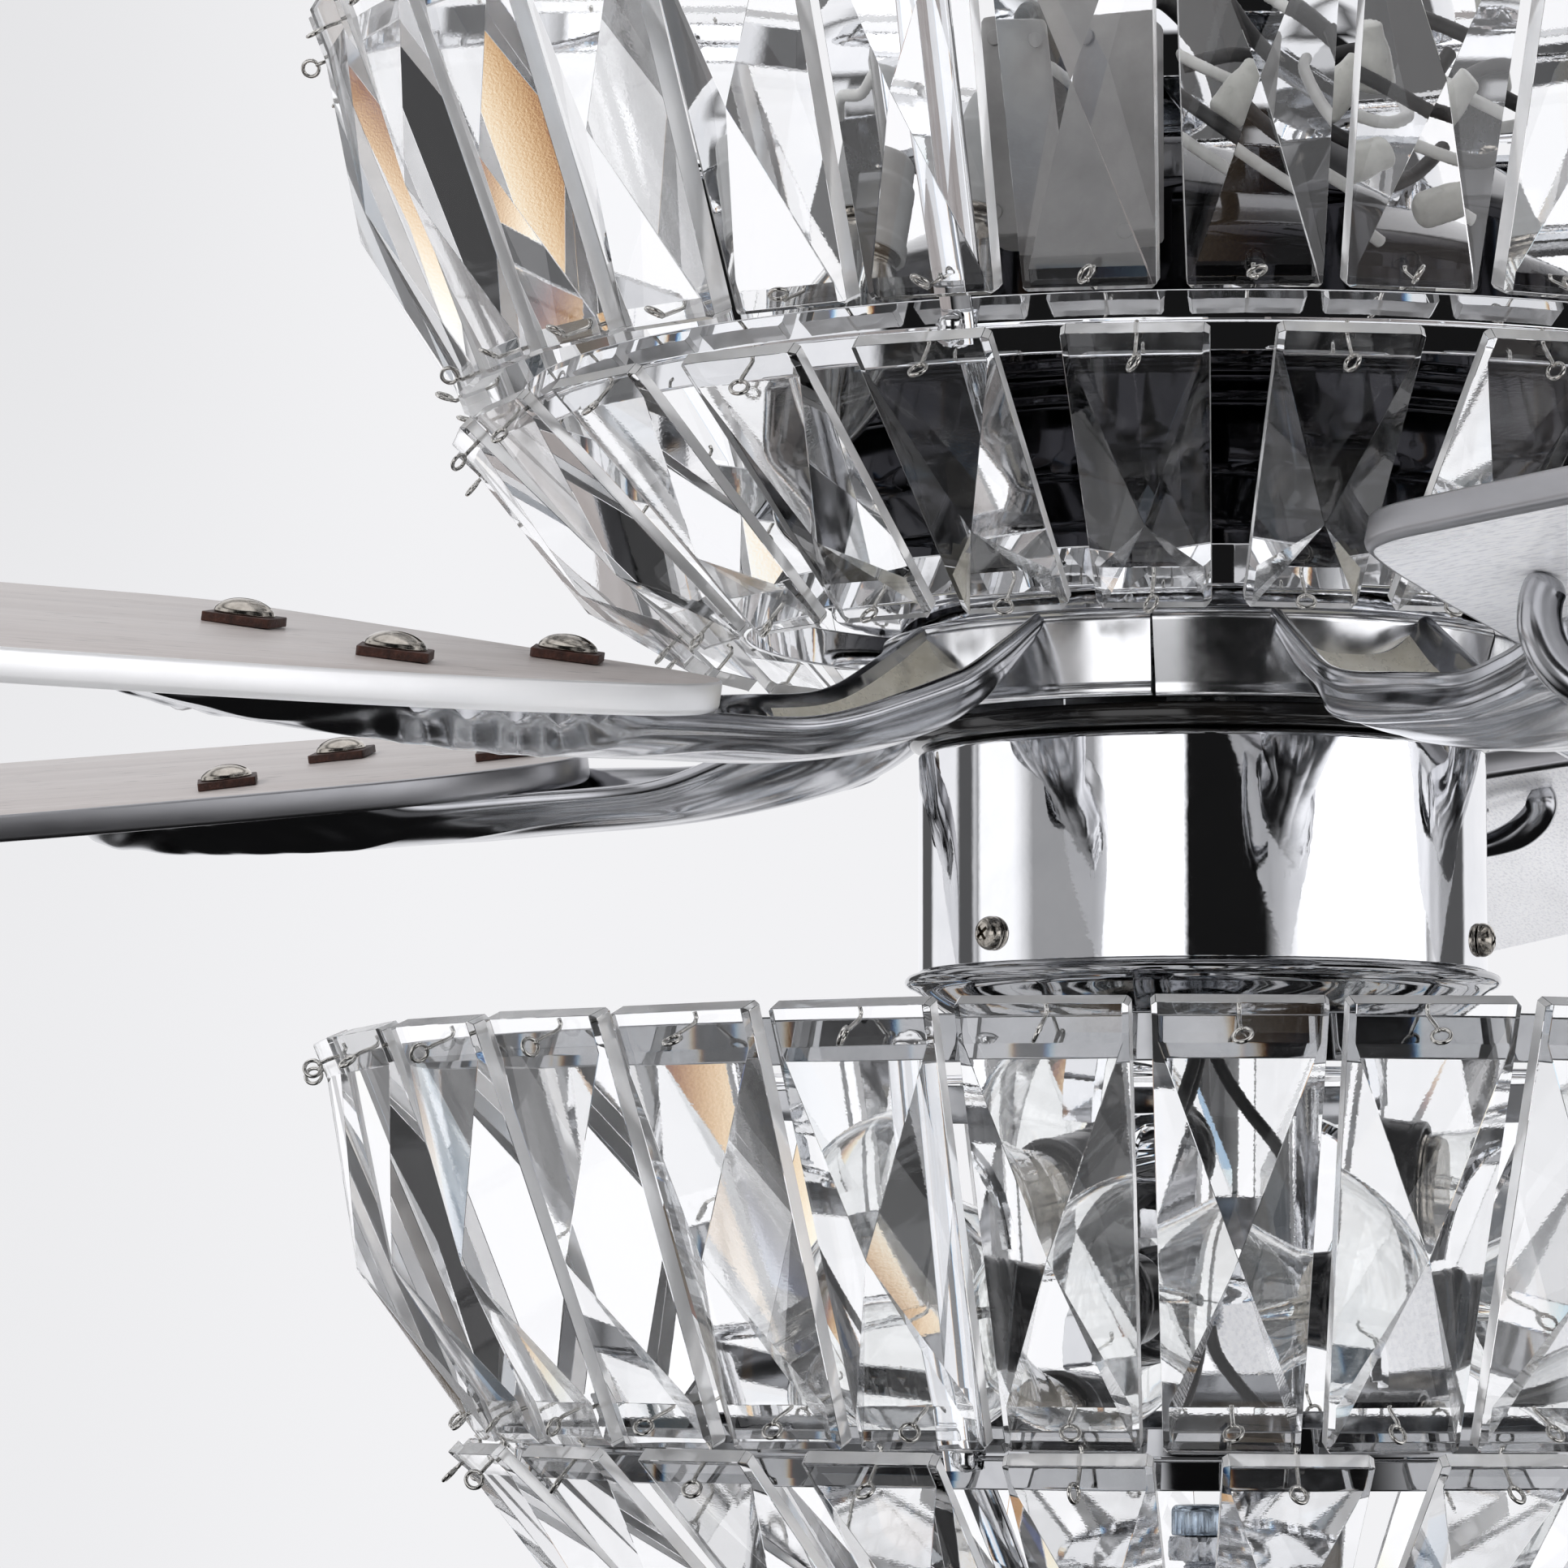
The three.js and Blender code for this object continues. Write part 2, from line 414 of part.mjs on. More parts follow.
function crystals(t, drop) {
  const { A, B, u, n, len } = tierAxes(t, drop);
  const total = len + t.over[0] + t.over[1];
  const at = (s, k) => B.clone().addScaledVector(u, s - t.over[1]).addScaledVector(n, k); // s from the lower edge
  const parts = [];
  const wireR = 0.8;
  for (let i = 0; i < t.n; i++) {
    const az = t.first + (360 / t.n) * i;
    const P = (s, k, x) => {
      const p = at(s, k), et = V(Math.cos(az * D2R), Math.sin(az * D2R), 0);
      return polar(p.x, az, p.y).addScaledVector(et, x);
    };
    const w0 = t.w[1] / 2, w1 = t.w[0] / 2, wm = w0 + (w1 - w0) * t.at;
    const v = [P(0, t.back, -w0), P(0, t.back, w0), P(total, t.back, w1), P(total, t.back, -w1),
      P(0, t.front, -w0), P(0, t.front, w0), P(total, t.front, w1), P(total, t.front, -w1), P(total * t.at, t.apex, 0)];
    const f = [[0, 2, 1], [0, 3, 2], [0, 1, 5], [0, 5, 4], [1, 2, 6], [1, 6, 5], [2, 3, 7], [2, 7, 6], [3, 0, 4], [3, 4, 7],
      [4, 5, 8], [5, 6, 8], [6, 7, 8], [7, 4, 8]];
    const g = new THREE.BufferGeometry();
    g.setAttribute("position", new THREE.Float32BufferAttribute(v.flatMap((p) => [p.x, p.y, p.z]), 3));
    g.setIndex(f.flat());
    parts.push(fix(g));
  }
  // the wire that the crystals are threaded on, straight from one to the next
  const wire = new THREE.LatheGeometry([[A.x - wireR, A.y - wireR], [A.x + wireR, A.y - wireR], [A.x + wireR, A.y + wireR],
    [A.x - wireR, A.y + wireR], [A.x - wireR, A.y - wireR]].map(([r, h]) => new THREE.Vector2(r, h)), t.n);
  wire.rotateX(Math.PI / 2);
  wire.rotateZ(t.first * D2R);
  parts.push(fix(wire));
  return join(parts);
}
// Strip hoop: radius of its inner face, heights, number of sides.
const HOOPS = { top: [190.5, 293, 303, 32], mid: [157.4, 206, 219, 32], low: [105.6, 163, 172, 24] };
const strip = ([r, h0, h1, n], drop) => turned([[r, h0 - drop], [r + 1.5, h0 - drop], [r + 1.5, h1 - drop], [r, h1 - drop]], n);
// Flat rib between two hoops, on their outside.
function rib(az, p, q, wide = 7) {
  const et = V(Math.cos(az * D2R), Math.sin(az * D2R), 0);
  const d = new THREE.Vector2(q[0] - p[0], q[1] - p[1]).normalize(), n = new THREE.Vector2(d.y, -d.x);
  return loft([p, q].map(([r, h]) => [[-wide / 2, -0.8], [wide / 2, -0.8], [wide / 2, 0.8], [-wide / 2, 0.8]].map(([t, k]) =>
    polar(r + n.x * k, az, h + n.y * k).addScaledVector(et, t))));
}
const RIB_AZ = [-18.5, 101.5, 221.5];
function bowlFrame(drop, dropLow, arms, centre, extra = []) {
  const parts = [strip(HOOPS.top, drop), strip(HOOPS.mid, drop), strip(HOOPS.low, dropLow), ...extra];
  RIB_AZ.forEach((a) => {
    parts.push(rib(a, [191, 296 - drop], [158.2, 214 - drop]));
    parts.push(rib(a, [158.2, 208 - drop], [106.4, 166 - dropLow]));
  });
  FRAME_AZ.forEach((a) => parts.push(rib(a, arms[0], arms[1], 10)));
  parts.push(turned(centre, 24));
  return join(parts);
}
piece("upper_frame", bowlFrame(0, 0, [[26, 279], [191, 298]],
  [[15.3, 278.3], [30, 278.3], [30, 279.9], [15.3, 279.9]]), ...CHROME);
piece("lower_frame", bowlFrame(BOWL_DROP, SHORT_DROP, [[14, 62.8], [191, 62.8]],
  [[PIPE_R + GAP, 62], [18, 62], [18, 63.6], [PIPE_R + GAP, 63.6]],
  // the lower bowl's lowest hoop is deeper, with three straps across to the finial pipe
  [turned([[105.6, -76.8], [107.1, -76.8], [107.1, -66], [105.6, -66]], 24), turned([[PIPE_R + GAP, -75], [34, -75], [34, -73.6], [PIPE_R + GAP, -73.6]], 24),
    ...[47, 167, 287].map((a) => rib(a, [30, -74.3], [106.2, -74.3], 9))]), ...CHROME);
piece("upper_crystals_long", crystals(LONG, 0), ...CRYSTAL);
piece("upper_crystals_short", crystals(SHORT, 0), ...CRYSTAL);
piece("lower_crystals_long", crystals({ ...LONG, a: [199.4, 301], b: [165.6, 220.7], over: [4.8, 6.2], at: 0.485, front: 3.2, apex: 15.4, first: 13.3 }, BOWL_DROP), ...CRYSTAL);
piece("lower_crystals_short", crystals({ ...SHORT, over: [1.7, 3.6], first: 6.35 }, SHORT_DROP), ...CRYSTAL);
piece("base_crystals", crystals(BASE, 0), ...CRYSTAL);

// ---------- bottom of the lower bowl ----------
{
  piece("base_cap", turned([[PIPE_R + GAP, -111], [14, -111], [32, -107.5], [44, -103], [44, -101.6],
    [32, -105.8], [14, -109.4], [PIPE_R + GAP, -109.4]], 24), ...CHROME);
  piece("finial_pipe", turned([[PIPE_R, -116], [PIPE_R, -42], [3.2, -42], [3.2, -116]], 16), ...ZINC);
  piece("finial_nut", nut(-50, -44.6), ...ZINC);
  piece("finial", spun([[0, -131], [6, -130], [10, -124], [8, -117.4], [11.5, -115], [11.5, -111.3], [PIPE_R + GAP, -111.3],
    [PIPE_R + GAP, -118], [0, -118]], 16), ...CHROME);
}

// ---------- wiring of the upper bowl ----------
piece("receiver_lead", tube([polar(117, -6.6, 285.4), polar(116.4, -6.4, 288.4), polar(108, -4, 291), polar(92, 1, 285), polar(72, 6, 280.8), polar(56, 5, 280.6), polar(42, 3, 282.6), polar(28, 1, 287), polar(21, 0, 294), polar(20, 0, 306)], 2.2, 6, 14), ...BLACK);

export default fan;
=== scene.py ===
import bpy, bmesh, math, json, random
from math import sin, cos, radians, pi
from mathutils import Vector, Matrix, noise as mnoise

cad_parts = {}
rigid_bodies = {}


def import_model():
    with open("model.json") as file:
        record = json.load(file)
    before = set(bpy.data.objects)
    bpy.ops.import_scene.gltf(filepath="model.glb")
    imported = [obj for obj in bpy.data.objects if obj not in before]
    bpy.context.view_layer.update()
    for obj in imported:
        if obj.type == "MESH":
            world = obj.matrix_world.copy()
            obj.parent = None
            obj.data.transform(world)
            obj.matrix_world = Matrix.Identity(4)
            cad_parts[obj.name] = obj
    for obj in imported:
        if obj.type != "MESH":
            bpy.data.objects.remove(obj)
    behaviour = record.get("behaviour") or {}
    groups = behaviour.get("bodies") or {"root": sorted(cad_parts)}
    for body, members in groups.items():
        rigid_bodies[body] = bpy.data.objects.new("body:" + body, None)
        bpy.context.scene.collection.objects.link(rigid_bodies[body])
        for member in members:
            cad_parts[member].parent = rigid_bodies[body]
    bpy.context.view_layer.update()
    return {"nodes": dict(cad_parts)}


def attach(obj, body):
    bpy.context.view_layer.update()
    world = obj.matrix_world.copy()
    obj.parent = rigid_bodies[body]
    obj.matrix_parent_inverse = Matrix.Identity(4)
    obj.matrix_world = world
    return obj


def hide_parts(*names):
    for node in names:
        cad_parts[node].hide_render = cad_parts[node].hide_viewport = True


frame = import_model()
scene = bpy.context.scene
MM = 0.001
CEIL = 485.0          # heights below are drawn over the camera's level; this brings them under the ceiling
rnd = random.Random(7)


# ------------------------------------------------------------------ helpers
def er_(az):
    a = radians(az)
    return Vector((sin(a), -cos(a), 0))


def et_(az):
    a = radians(az)
    return Vector((cos(a), sin(a), 0))


def pol(r, az, h):
    """A point in millimetres, heights over the datum brought to the row frame."""
    return er_(az) * r + Vector((0, 0, h - CEIL))


def smooth(t):
    t = max(0.0, min(1.0, t))
    return t * t * (3 - 2 * t)


def lerp_table(tab, x, k):
    if x <= tab[0][0]:
        return tab[0][k]
    for a, b in zip(tab, tab[1:]):
        if x <= b[0]:
            t = (x - a[0]) / (b[0] - a[0])
            return a[k] + (b[k] - a[k]) * t
    return tab[-1][k]


def spline_table(tab, x, k):
    """Catmull-Rom through the table's rows, on their own spacing."""
    n = len(tab)
    if x <= tab[0][0]:
        return tab[0][k]
    if x >= tab[-1][0]:
        return tab[-1][k]
    for i in range(n - 1):
        if x <= tab[i + 1][0]:
            break
    x0, x1 = tab[i][0], tab[i + 1][0]
    t = (x - x0) / (x1 - x0)

    def slope(j):
        if j == 0:
            return (tab[1][k] - tab[0][k]) / (tab[1][0] - tab[0][0])
        if j == n - 1:
            return (tab[-1][k] - tab[-2][k]) / (tab[-1][0] - tab[-2][0])
        return (tab[j + 1][k] - tab[j - 1][k]) / (tab[j + 1][0] - tab[j - 1][0])
    m0, m1 = slope(i) * (x1 - x0), slope(i + 1) * (x1 - x0)
    a, b = tab[i][k], tab[i + 1][k]
    return (2 * t**3 - 3 * t**2 + 1) * a + (t**3 - 2 * t**2 + t) * m0 + (-2 * t**3 + 3 * t**2) * b + (t**3 - t**2) * m1


def rounded(profile, rad, steps=3, closed=True):
    """The profile with its corners rounded; rad is one radius or one for each corner."""
    n = len(profile)
    out = []
    for i, p in enumerate(profile):
        if not closed and i in (0, n - 1):
            out.append(tuple(p))
            continue
        a, c = Vector(profile[i - 1]), Vector(profile[(i + 1) % n])
        b = Vector(p)
        r = rad[i] if isinstance(rad, (list, tuple)) else rad
        da, dc = a - b, c - b
        la, lc = da.length, dc.length
        if r <= 0 or la < 1e-6 or lc < 1e-6:
            out.append(tuple(p))
            continue
        d = min(r, la * 0.45, lc * 0.45)
        pa, pc = b + da * (d / la), b + dc * (d / lc)
        for s in range(steps + 1):
            t = s / steps
            q = pa * (1 - t) ** 2 + b * 2 * t * (1 - t) + pc * t * t
            out.append((q.x, q.y))
    return out


class Mesher:
    """Collects parts in millimetres and makes one object of them."""

    def __init__(self):
        self.v, self.f, self.m = [], [], []

    def add(self, verts, faces, mat=0, matrix=None):
        k = len(self.v)
        for p in verts:
            q = Vector(p)
            self.v.append(matrix @ q if matrix is not None else q)
        for f in faces:
            self.f.append([k + i for i in f])
            self.m.append(mat)
        return self

    def lathe(self, profile, seg=96, mat=0, matrix=None, closed=True, az0=0.0, az1=360.0):
        """Turned from a closed [radius, height] outline, or an open one that starts and ends on the axis."""
        full = abs(az1 - az0) >= 359.99
        n = seg if full else seg + 1
        verts, faces, ring = [], [], []
        for (r, h) in profile:
            if r < 1e-6:
                ring.append([len(verts)] * n)
                verts.append((0, 0, h))
            else:
                row = []
                for i in range(n):
                    a = radians(az0 + (az1 - az0) * i / seg)
                    row.append(len(verts))
                    verts.append((r * sin(a), -r * cos(a), h))
                ring.append(row)
        m = len(profile)
        pairs = [(i, i + 1) for i in range(m - 1)] + ([(m - 1, 0)] if closed else [])
        area = sum(profile[i][0] * profile[(i + 1) % m][1] - profile[(i + 1) % m][0] * profile[i][1] for i in range(m))
        for a, b in pairs:
            for i in range(seg):
                j = (i + 1) % n if full else i + 1
                q = [ring[a][i], ring[a][j], ring[b][j], ring[b][i]]
                q = [x for k, x in enumerate(q) if x not in q[:k]]
                if len(q) >= 3:
                    faces.append(q if area > 0 else q[::-1])
        if not full:
            e0 = [ring[i][0] for i in range(m)]
            e1 = [ring[i][-1] for i in range(m)]
            faces.append(e0 if area < 0 else e0[::-1])
            faces.append(e1 if area > 0 else e1[::-1])
        return self.add(verts, faces, mat, matrix)

    def tube(self, pts, r, seg=12, mat=0, closed=False, matrix=None, caps=True):
        """A round wire along points; r may be a list."""
        n = len(pts)
        pts = [Vector(p) for p in pts]
        verts, faces = [], []
        t0 = (pts[1] - pts[0]).normalized()
        ref = Vector((0, 0, 1)) if abs(t0.z) < 0.9 else Vector((1, 0, 0))
        nrm = (ref - t0 * ref.dot(t0)).normalized()
        for i, p in enumerate(pts):
            a = pts[i - 1] if (i > 0 or closed) else p
            b = pts[(i + 1) % n] if (i < n - 1 or closed) else p
            t = (b - a).normalized()
            nrm = (nrm - t * nrm.dot(t)).normalized()
            bi = t.cross(nrm)
            rr = r[i] if isinstance(r, (list, tuple)) else r
            for k in range(seg):
                w = 2 * pi * k / seg
                verts.append(p + (nrm * cos(w) + bi * sin(w)) * rr)
        for i in range(n if closed else n - 1):
            for k in range(seg):
                a, b = i * seg + k, i * seg + (k + 1) % seg
                c, d = ((i + 1) % n) * seg + (k + 1) % seg, ((i + 1) % n) * seg + k
                faces.append([a, b, c, d])
        if not closed and caps:
            faces.append([k for k in range(seg)][::-1])
            faces.append([(n - 1) * seg + k for k in range(seg)])
        return self.add(verts, faces, mat, matrix)

    def loft(self, rings, mat=0, closed=False, matrix=None):
        n = len(rings[0])
        verts = [p for r in rings for p in r]
        faces = []
        for i in range(len(rings) - (0 if closed else 1)):
            for k in range(n):
                a, b = i * n + k, i * n + (k + 1) % n
                c, d = ((i + 1) % len(rings)) * n + (k + 1) % n, ((i + 1) % len(rings)) * n + k
                faces.append([a, b, c, d])
        if not closed:
            faces.append([k for k in range(n)][::-1])
            faces.append([(len(rings) - 1) * n + k for k in range(n)])
        return self.add(verts, faces, mat, matrix)

    def prism(self, outline, z0, z1, mat=0, side=None, bottom=None, matrix=None):
        n = len(outline)
        verts = [(x, y, z0) for x, y in outline] + [(x, y, z1) for x, y in outline]
        self.add(verts, [[i, (i + 1) % n, n + (i + 1) % n, n + i] for i in range(n)], mat if side is None else side, matrix)
        k = len(self.v) - 2 * n
        self.f.append([k + n + i for i in range(n)]); self.m.append(mat)
        self.f.append([k + i for i in range(n)][::-1]); self.m.append(mat if bottom is None else bottom)
        return self

    def make(self, name, mats, body=None, parent=None, slot=None, replaces=(), sharp=35.0, bevel=0.0, segs=2, recalc=False,
             matrix=None, at=None, subsurf=0):
        me = bpy.data.meshes.new(name)
        inv = at.inverted() if at is not None else None
        me.from_pydata([tuple((inv @ p if inv is not None else p) * MM) for p in self.v], [], self.f)
        for m in mats:
            me.materials.append(m)
        me.polygons.foreach_set("material_index", self.m)
        bm = bmesh.new()
        bm.from_mesh(me)
        bmesh.ops.remove_doubles(bm, verts=bm.verts, dist=1e-7)
        if recalc:
            bmesh.ops.recalc_face_normals(bm, faces=bm.faces)
        if bevel > 0:
            edges = [e for e in bm.edges if len(e.link_faces) == 2 and e.calc_face_angle(0) > radians(25)]
            bmesh.ops.bevel(bm, geom=edges, offset=bevel * MM, segments=segs, profile=0.6, affect="EDGES", clamp_overlap=True)
        bm.to_mesh(me)
        bm.free()
        me.polygons.foreach_set("use_smooth", [True] * len(me.polygons))
        me.set_sharp_from_angle(angle=radians(sharp))
        ob = bpy.data.objects.new(name, me)
        scene.collection.objects.link(ob)
        if at is not None:
            t = at.copy()
            t.translation = t.translation * MM
            ob.matrix_world = t
        if subsurf:
            s = ob.modifiers.new("Subdivision", "SUBSURF")
            s.levels = s.render_levels = subsurf
        if body:
            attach(ob, body)
        elif parent:
            ob.parent = parent
        if replaces:
            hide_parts(*replaces)
        return ob


def curve_pts(pts, per=10):
    out = []
    n = len(pts)
    for i in range(n - 1):
        p0 = pts[max(0, i - 1)]
        p1, p2 = pts[i], pts[i + 1]
        p3 = pts[min(n - 1, i + 2)]
        for s in range(per):
            t = s / per
            out.append(0.5 * ((2 * p1) + (p2 - p0) * t + (2 * p0 - 5 * p1 + 4 * p2 - p3) * t * t + (3 * p1 - p0 - 3 * p2 + p3) * t**3))
    out.append(pts[-1])
    return out


def instance(name, mesh, matrix, parent):
    """Another object with the same mesh; matrix in millimetres, parent at the origin."""
    ob = bpy.data.objects.new(name, mesh)
    scene.collection.objects.link(ob)
    t = matrix.copy()
    t.translation = t.translation * MM
    ob.parent = parent
    ob.matrix_basis = t
    return ob


def axes_matrix(x, y, z, o):
    m = Matrix.Identity(4)
    for i in range(3):
        m[i][0], m[i][1], m[i][2], m[i][3] = x[i], y[i], z[i], o[i]
    return m


def along(o, z, ref=Vector((0, 0, 1))):
    """A frame whose Z runs along z."""
    z = z.normalized()
    if abs(z.dot(ref)) > 0.98:
        ref = Vector((1, 0, 0))
    x = ref.cross(z).normalized()
    return axes_matrix(x, z.cross(x), z, o)


LIFT = Matrix.Translation((0, 0, -CEIL))


# ------------------------------------------------------------------ materials
def new_mat(name):
    m = bpy.data.materials.new(name)
    m.use_nodes = True
    nt = m.node_tree
    return m, nt, nt.nodes["Principled BSDF"]


def node(nt, kind, **kw):
    n = nt.nodes.new(kind)
    for k, v in kw.items():
        if k in n.inputs:
            n.inputs[k].default_value = v
        else:
            setattr(n, k, v)
    return n


def ramp(nt, src, stops, interp="LINEAR"):
    r = nt.nodes.new("ShaderNodeValToRGB")
    r.color_ramp.interpolation = interp
    el = r.color_ramp.elements
    while len(el) < len(stops):
        el.new(0.5)
    for e, (p, c) in zip(el, stops):
        e.position = p
        e.color = (*c, 1) if isinstance(c, tuple) else (c, c, c, 1)
    nt.links.new(src, r.inputs["Fac"])
    return r


def coords(nt, scale=(1, 1, 1), kind="Object", rot=(0, 0, 0)):
    tc = nt.nodes.new("ShaderNodeTexCoord")
    mp = nt.nodes.new("ShaderNodeMapping")
    mp.inputs["Scale"].default_value = scale
    mp.inputs["Rotation"].default_value = rot
    nt.links.new(tc.outputs[kind], mp.inputs["Vector"])
    return mp.outputs["Vector"]


def noise(nt, vec, scale, detail=3.0, rough=0.5, dist=0.0):
    n = node(nt, "ShaderNodeTexNoise", Scale=scale, Detail=detail, Roughness=rough, Distortion=dist)
    nt.links.new(vec, n.inputs["Vector"])
    return n


def metal(name, dark, light, r0, r1, scale=120.0, bump=0.0, bscale=600.0, stretch=(1, 1, 1), aniso=0.0, coat=0.0):
    m, nt, p = new_mat(name)
    v = coords(nt, stretch)
    n = noise(nt, v, scale, 4.0, 0.6)
    c = ramp(nt, n.outputs["Fac"], [(0.3, dark), (0.7, light)])
    nt.links.new(c.outputs["Color"], p.inputs["Base Color"])
    n2 = noise(nt, v, scale * 2.3, 5.0, 0.65)
    r = ramp(nt, n2.outputs["Fac"], [(0.35, r0), (0.75, r1)])
    nt.links.new(r.outputs["Color"], p.inputs["Roughness"])
    p.inputs["Metallic"].default_value = 1.0
    if aniso:
        p.inputs["Anisotropic"].default_value = aniso
    if coat:
        p.inputs["Coat Weight"].default_value = coat
    if bump:
        n3 = noise(nt, v, bscale, 3.0, 0.5)
        b = node(nt, "ShaderNodeBump", Strength=bump, Distance=0.0004)
        nt.links.new(n3.outputs["Fac"], b.inputs["Height"])
        nt.links.new(b.outputs["Normal"], p.inputs["Normal"])
    return m


CHROME = metal("chrome", (0.80, 0.81, 0.83), (0.88, 0.885, 0.90), 0.015, 0.06, 60, bump=0.04, bscale=160)
CAST_CHROME = metal("cast_chrome", (0.43, 0.435, 0.455), (0.55, 0.555, 0.575), 0.15, 0.22, 40)
SATIN_CHROME = metal("satin_chrome", (0.84, 0.845, 0.855), (0.94, 0.945, 0.955), 0.13, 0.22, 50, bump=0.01, bscale=200)
GREY_CHROME = metal("grey_chrome", (0.30, 0.305, 0.315), (0.40, 0.405, 0.415), 0.03, 0.07, 50)
DARK_CHROME = metal("dark_chrome", (0.016, 0.016, 0.019), (0.034, 0.034, 0.038), 0.04, 0.10, 40, bump=0.03, bscale=120)
NICKEL = metal("antique_nickel", (0.36, 0.33, 0.29), (0.60, 0.56, 0.50), 0.12, 0.28, 300, bump=0.10, bscale=700)
WIRE = metal("nickel_wire", (0.58, 0.565, 0.53), (0.80, 0.785, 0.75), 0.07, 0.14, 400, bump=0.04, bscale=900)
ZINC = metal("zinc_plate", (0.50, 0.52, 0.55), (0.72, 0.74, 0.77), 0.16, 0.34, 250, bump=0.12, bscale=600)
STEEL = metal("turned_steel", (0.40, 0.41, 0.42), (0.62, 0.63, 0.64), 0.22, 0.38, 220, bump=0.08, bscale=500, stretch=(1, 1, 12))
BRASS = metal("raw_brass", (0.84, 0.80, 0.69), (1.0, 0.97, 0.88), 0.24, 0.42, 150, bump=0.5, bscale=260)
BRASS.node_tree.nodes["Principled BSDF"].inputs["Metallic"].default_value = 0.25
SOLDER = metal("solder", (0.60, 0.61, 0.62), (0.84, 0.84, 0.85), 0.08, 0.22, 160, bump=0.35, bscale=240)
COPPER = metal("varnished_copper", (0.30, 0.12, 0.05), (0.55, 0.26, 0.13), 0.22, 0.4, 260, bump=0.3, bscale=900, stretch=(1, 1, 6))


def crystal_mat():
    m, nt, p = new_mat("crystal")
    v = coords(nt)
    p.inputs["Base Color"].default_value = (0.99, 0.993, 0.995, 1)
    p.inputs["Transmission Weight"].default_value = 1.0
    p.inputs["IOR"].default_value = 1.54
    n = noise(nt, v, 260, 5.0, 0.7)
    r = ramp(nt, n.outputs["Fac"], [(0.62, 0.0), (0.9, 0.025)])
    nt.links.new(r.outputs["Color"], p.inputs["Roughness"])
    n2 = noise(nt, coords(nt, (1, 1, 2.0)), 1100, 2.0, 0.5)
    b = node(nt, "ShaderNodeBump", Strength=0.05, Distance=0.00002)
    nt.links.new(n2.outputs["Fac"], b.inputs["Height"])
    nt.links.new(b.outputs["Normal"], p.inputs["Normal"])
    return m


CRYSTAL = crystal_mat()


def frost_mat():
    """Ground side and end faces of the crystals: milky, with streaks of the wheel."""
    m, nt, p = new_mat("crystal_ground_edge")
    v = coords(nt, (1, 1, 0.12))
    n = noise(nt, v, 900, 4.0, 0.6)
    c = ramp(nt, n.outputs["Fac"], [(0.3, (0.96, 0.963, 0.965)), (0.7, (1.0, 1.0, 1.0))])
    nt.links.new(c.outputs["Color"], p.inputs["Base Color"])
    r = ramp(nt, noise(nt, coords(nt), 120, 4.0, 0.6).outputs["Fac"], [(0.35, 0.16), (0.7, 0.26)])
    nt.links.new(r.outputs["Color"], p.inputs["Roughness"])
    p.inputs["Transmission Weight"].default_value = 0.66
    p.inputs["IOR"].default_value = 1.54
    return m


FROST = frost_mat()


def bulb_mat():
    m, nt, p = new_mat("bulb_glass")
    p.inputs["Base Color"].default_value = (0.97, 0.975, 0.97, 1)
    p.inputs["Transmission Weight"].default_value = 1.0
    p.inputs["IOR"].default_value = 1.47
    n = noise(nt, coords(nt), 180, 4.0, 0.7)
    r = ramp(nt, n.outputs["Fac"], [(0.5, 0.0), (0.9, 0.04)])
    nt.links.new(r.outputs["Color"], p.inputs["Roughness"])
    return m


BULB = bulb_mat()


def plastic(name, dark, light, r0, r1, scale=200.0, bump=0.1, bscale=900.0):
    m, nt, p = new_mat(name)
    v = coords(nt)
    n = noise(nt, v, scale, 4.0, 0.6)
    c = ramp(nt, n.outputs["Fac"], [(0.3, dark), (0.72, light)])
    nt.links.new(c.outputs["Color"], p.inputs["Base Color"])
    r = ramp(nt, noise(nt, v, scale * 1.9, 4.0, 0.6).outputs["Fac"], [(0.3, r0), (0.75, r1)])
    nt.links.new(r.outputs["Color"], p.inputs["Roughness"])
    b = node(nt, "ShaderNodeBump", Strength=bump, Distance=0.0003)
    nt.links.new(noise(nt, v, bscale, 2.0, 0.5).outputs["Fac"], b.inputs["Height"])
    nt.links.new(b.outputs["Normal"], p.inputs["Normal"])
    return m


BLACK = plastic("black_plastic", (0.006, 0.006, 0.007), (0.02, 0.02, 0.021), 0.12, 0.3, 160, 0.05)
BLACK_GLOSS = plastic("black_gloss", (0.004, 0.004, 0.005), (0.016, 0.014, 0.012), 0.05, 0.14, 60, 0.03, 300)
SLEEVE = plastic("sleeve", (0.012, 0.012, 0.013), (0.035, 0.034, 0.034), 0.4, 0.6, 260, 0.25, 1400)
WHITE = plastic("white_plastic", (0.46, 0.47, 0.47), (0.58, 0.59, 0.59), 0.32, 0.5, 120, 0.08)
WIRE_WHITE = plastic("white_wire", (0.62, 0.62, 0.60), (0.76, 0.76, 0.74), 0.3, 0.45, 200, 0.1)
BOX = plastic("grey_box", (0.25, 0.246, 0.243), (0.33, 0.326, 0.322), 0.32, 0.5, 120, 0.08)
CRIMP = plastic("crimp_cap", (0.50, 0.50, 0.47), (0.66, 0.66, 0.62), 0.25, 0.4, 200, 0.1)
FIBRE = plastic("fibre_washer", (0.020, 0.008, 0.006), (0.07, 0.026, 0.017), 0.45, 0.7, 700, 0.7, 1600)
EDGE = metal("blade_edge", (0.42, 0.42, 0.44), (0.50, 0.50, 0.52), 0.30, 0.38, 60, bump=0.01, bscale=400, stretch=(0.3, 1, 1))
# a much lighter copy of the blade edge finish, used on blade 1 only: a painted highlight, not a different finish
EDGE_PAINTED_HIGHLIGHT = metal("blade_edge_light", (0.90, 0.90, 0.91), (0.98, 0.98, 0.985), 0.30, 0.38, 60, bump=0.01, bscale=400, stretch=(0.3, 1, 1))
EDGE_PAINTED_HIGHLIGHT.node_tree.nodes["Principled BSDF"].inputs["Metallic"].default_value = 0.6


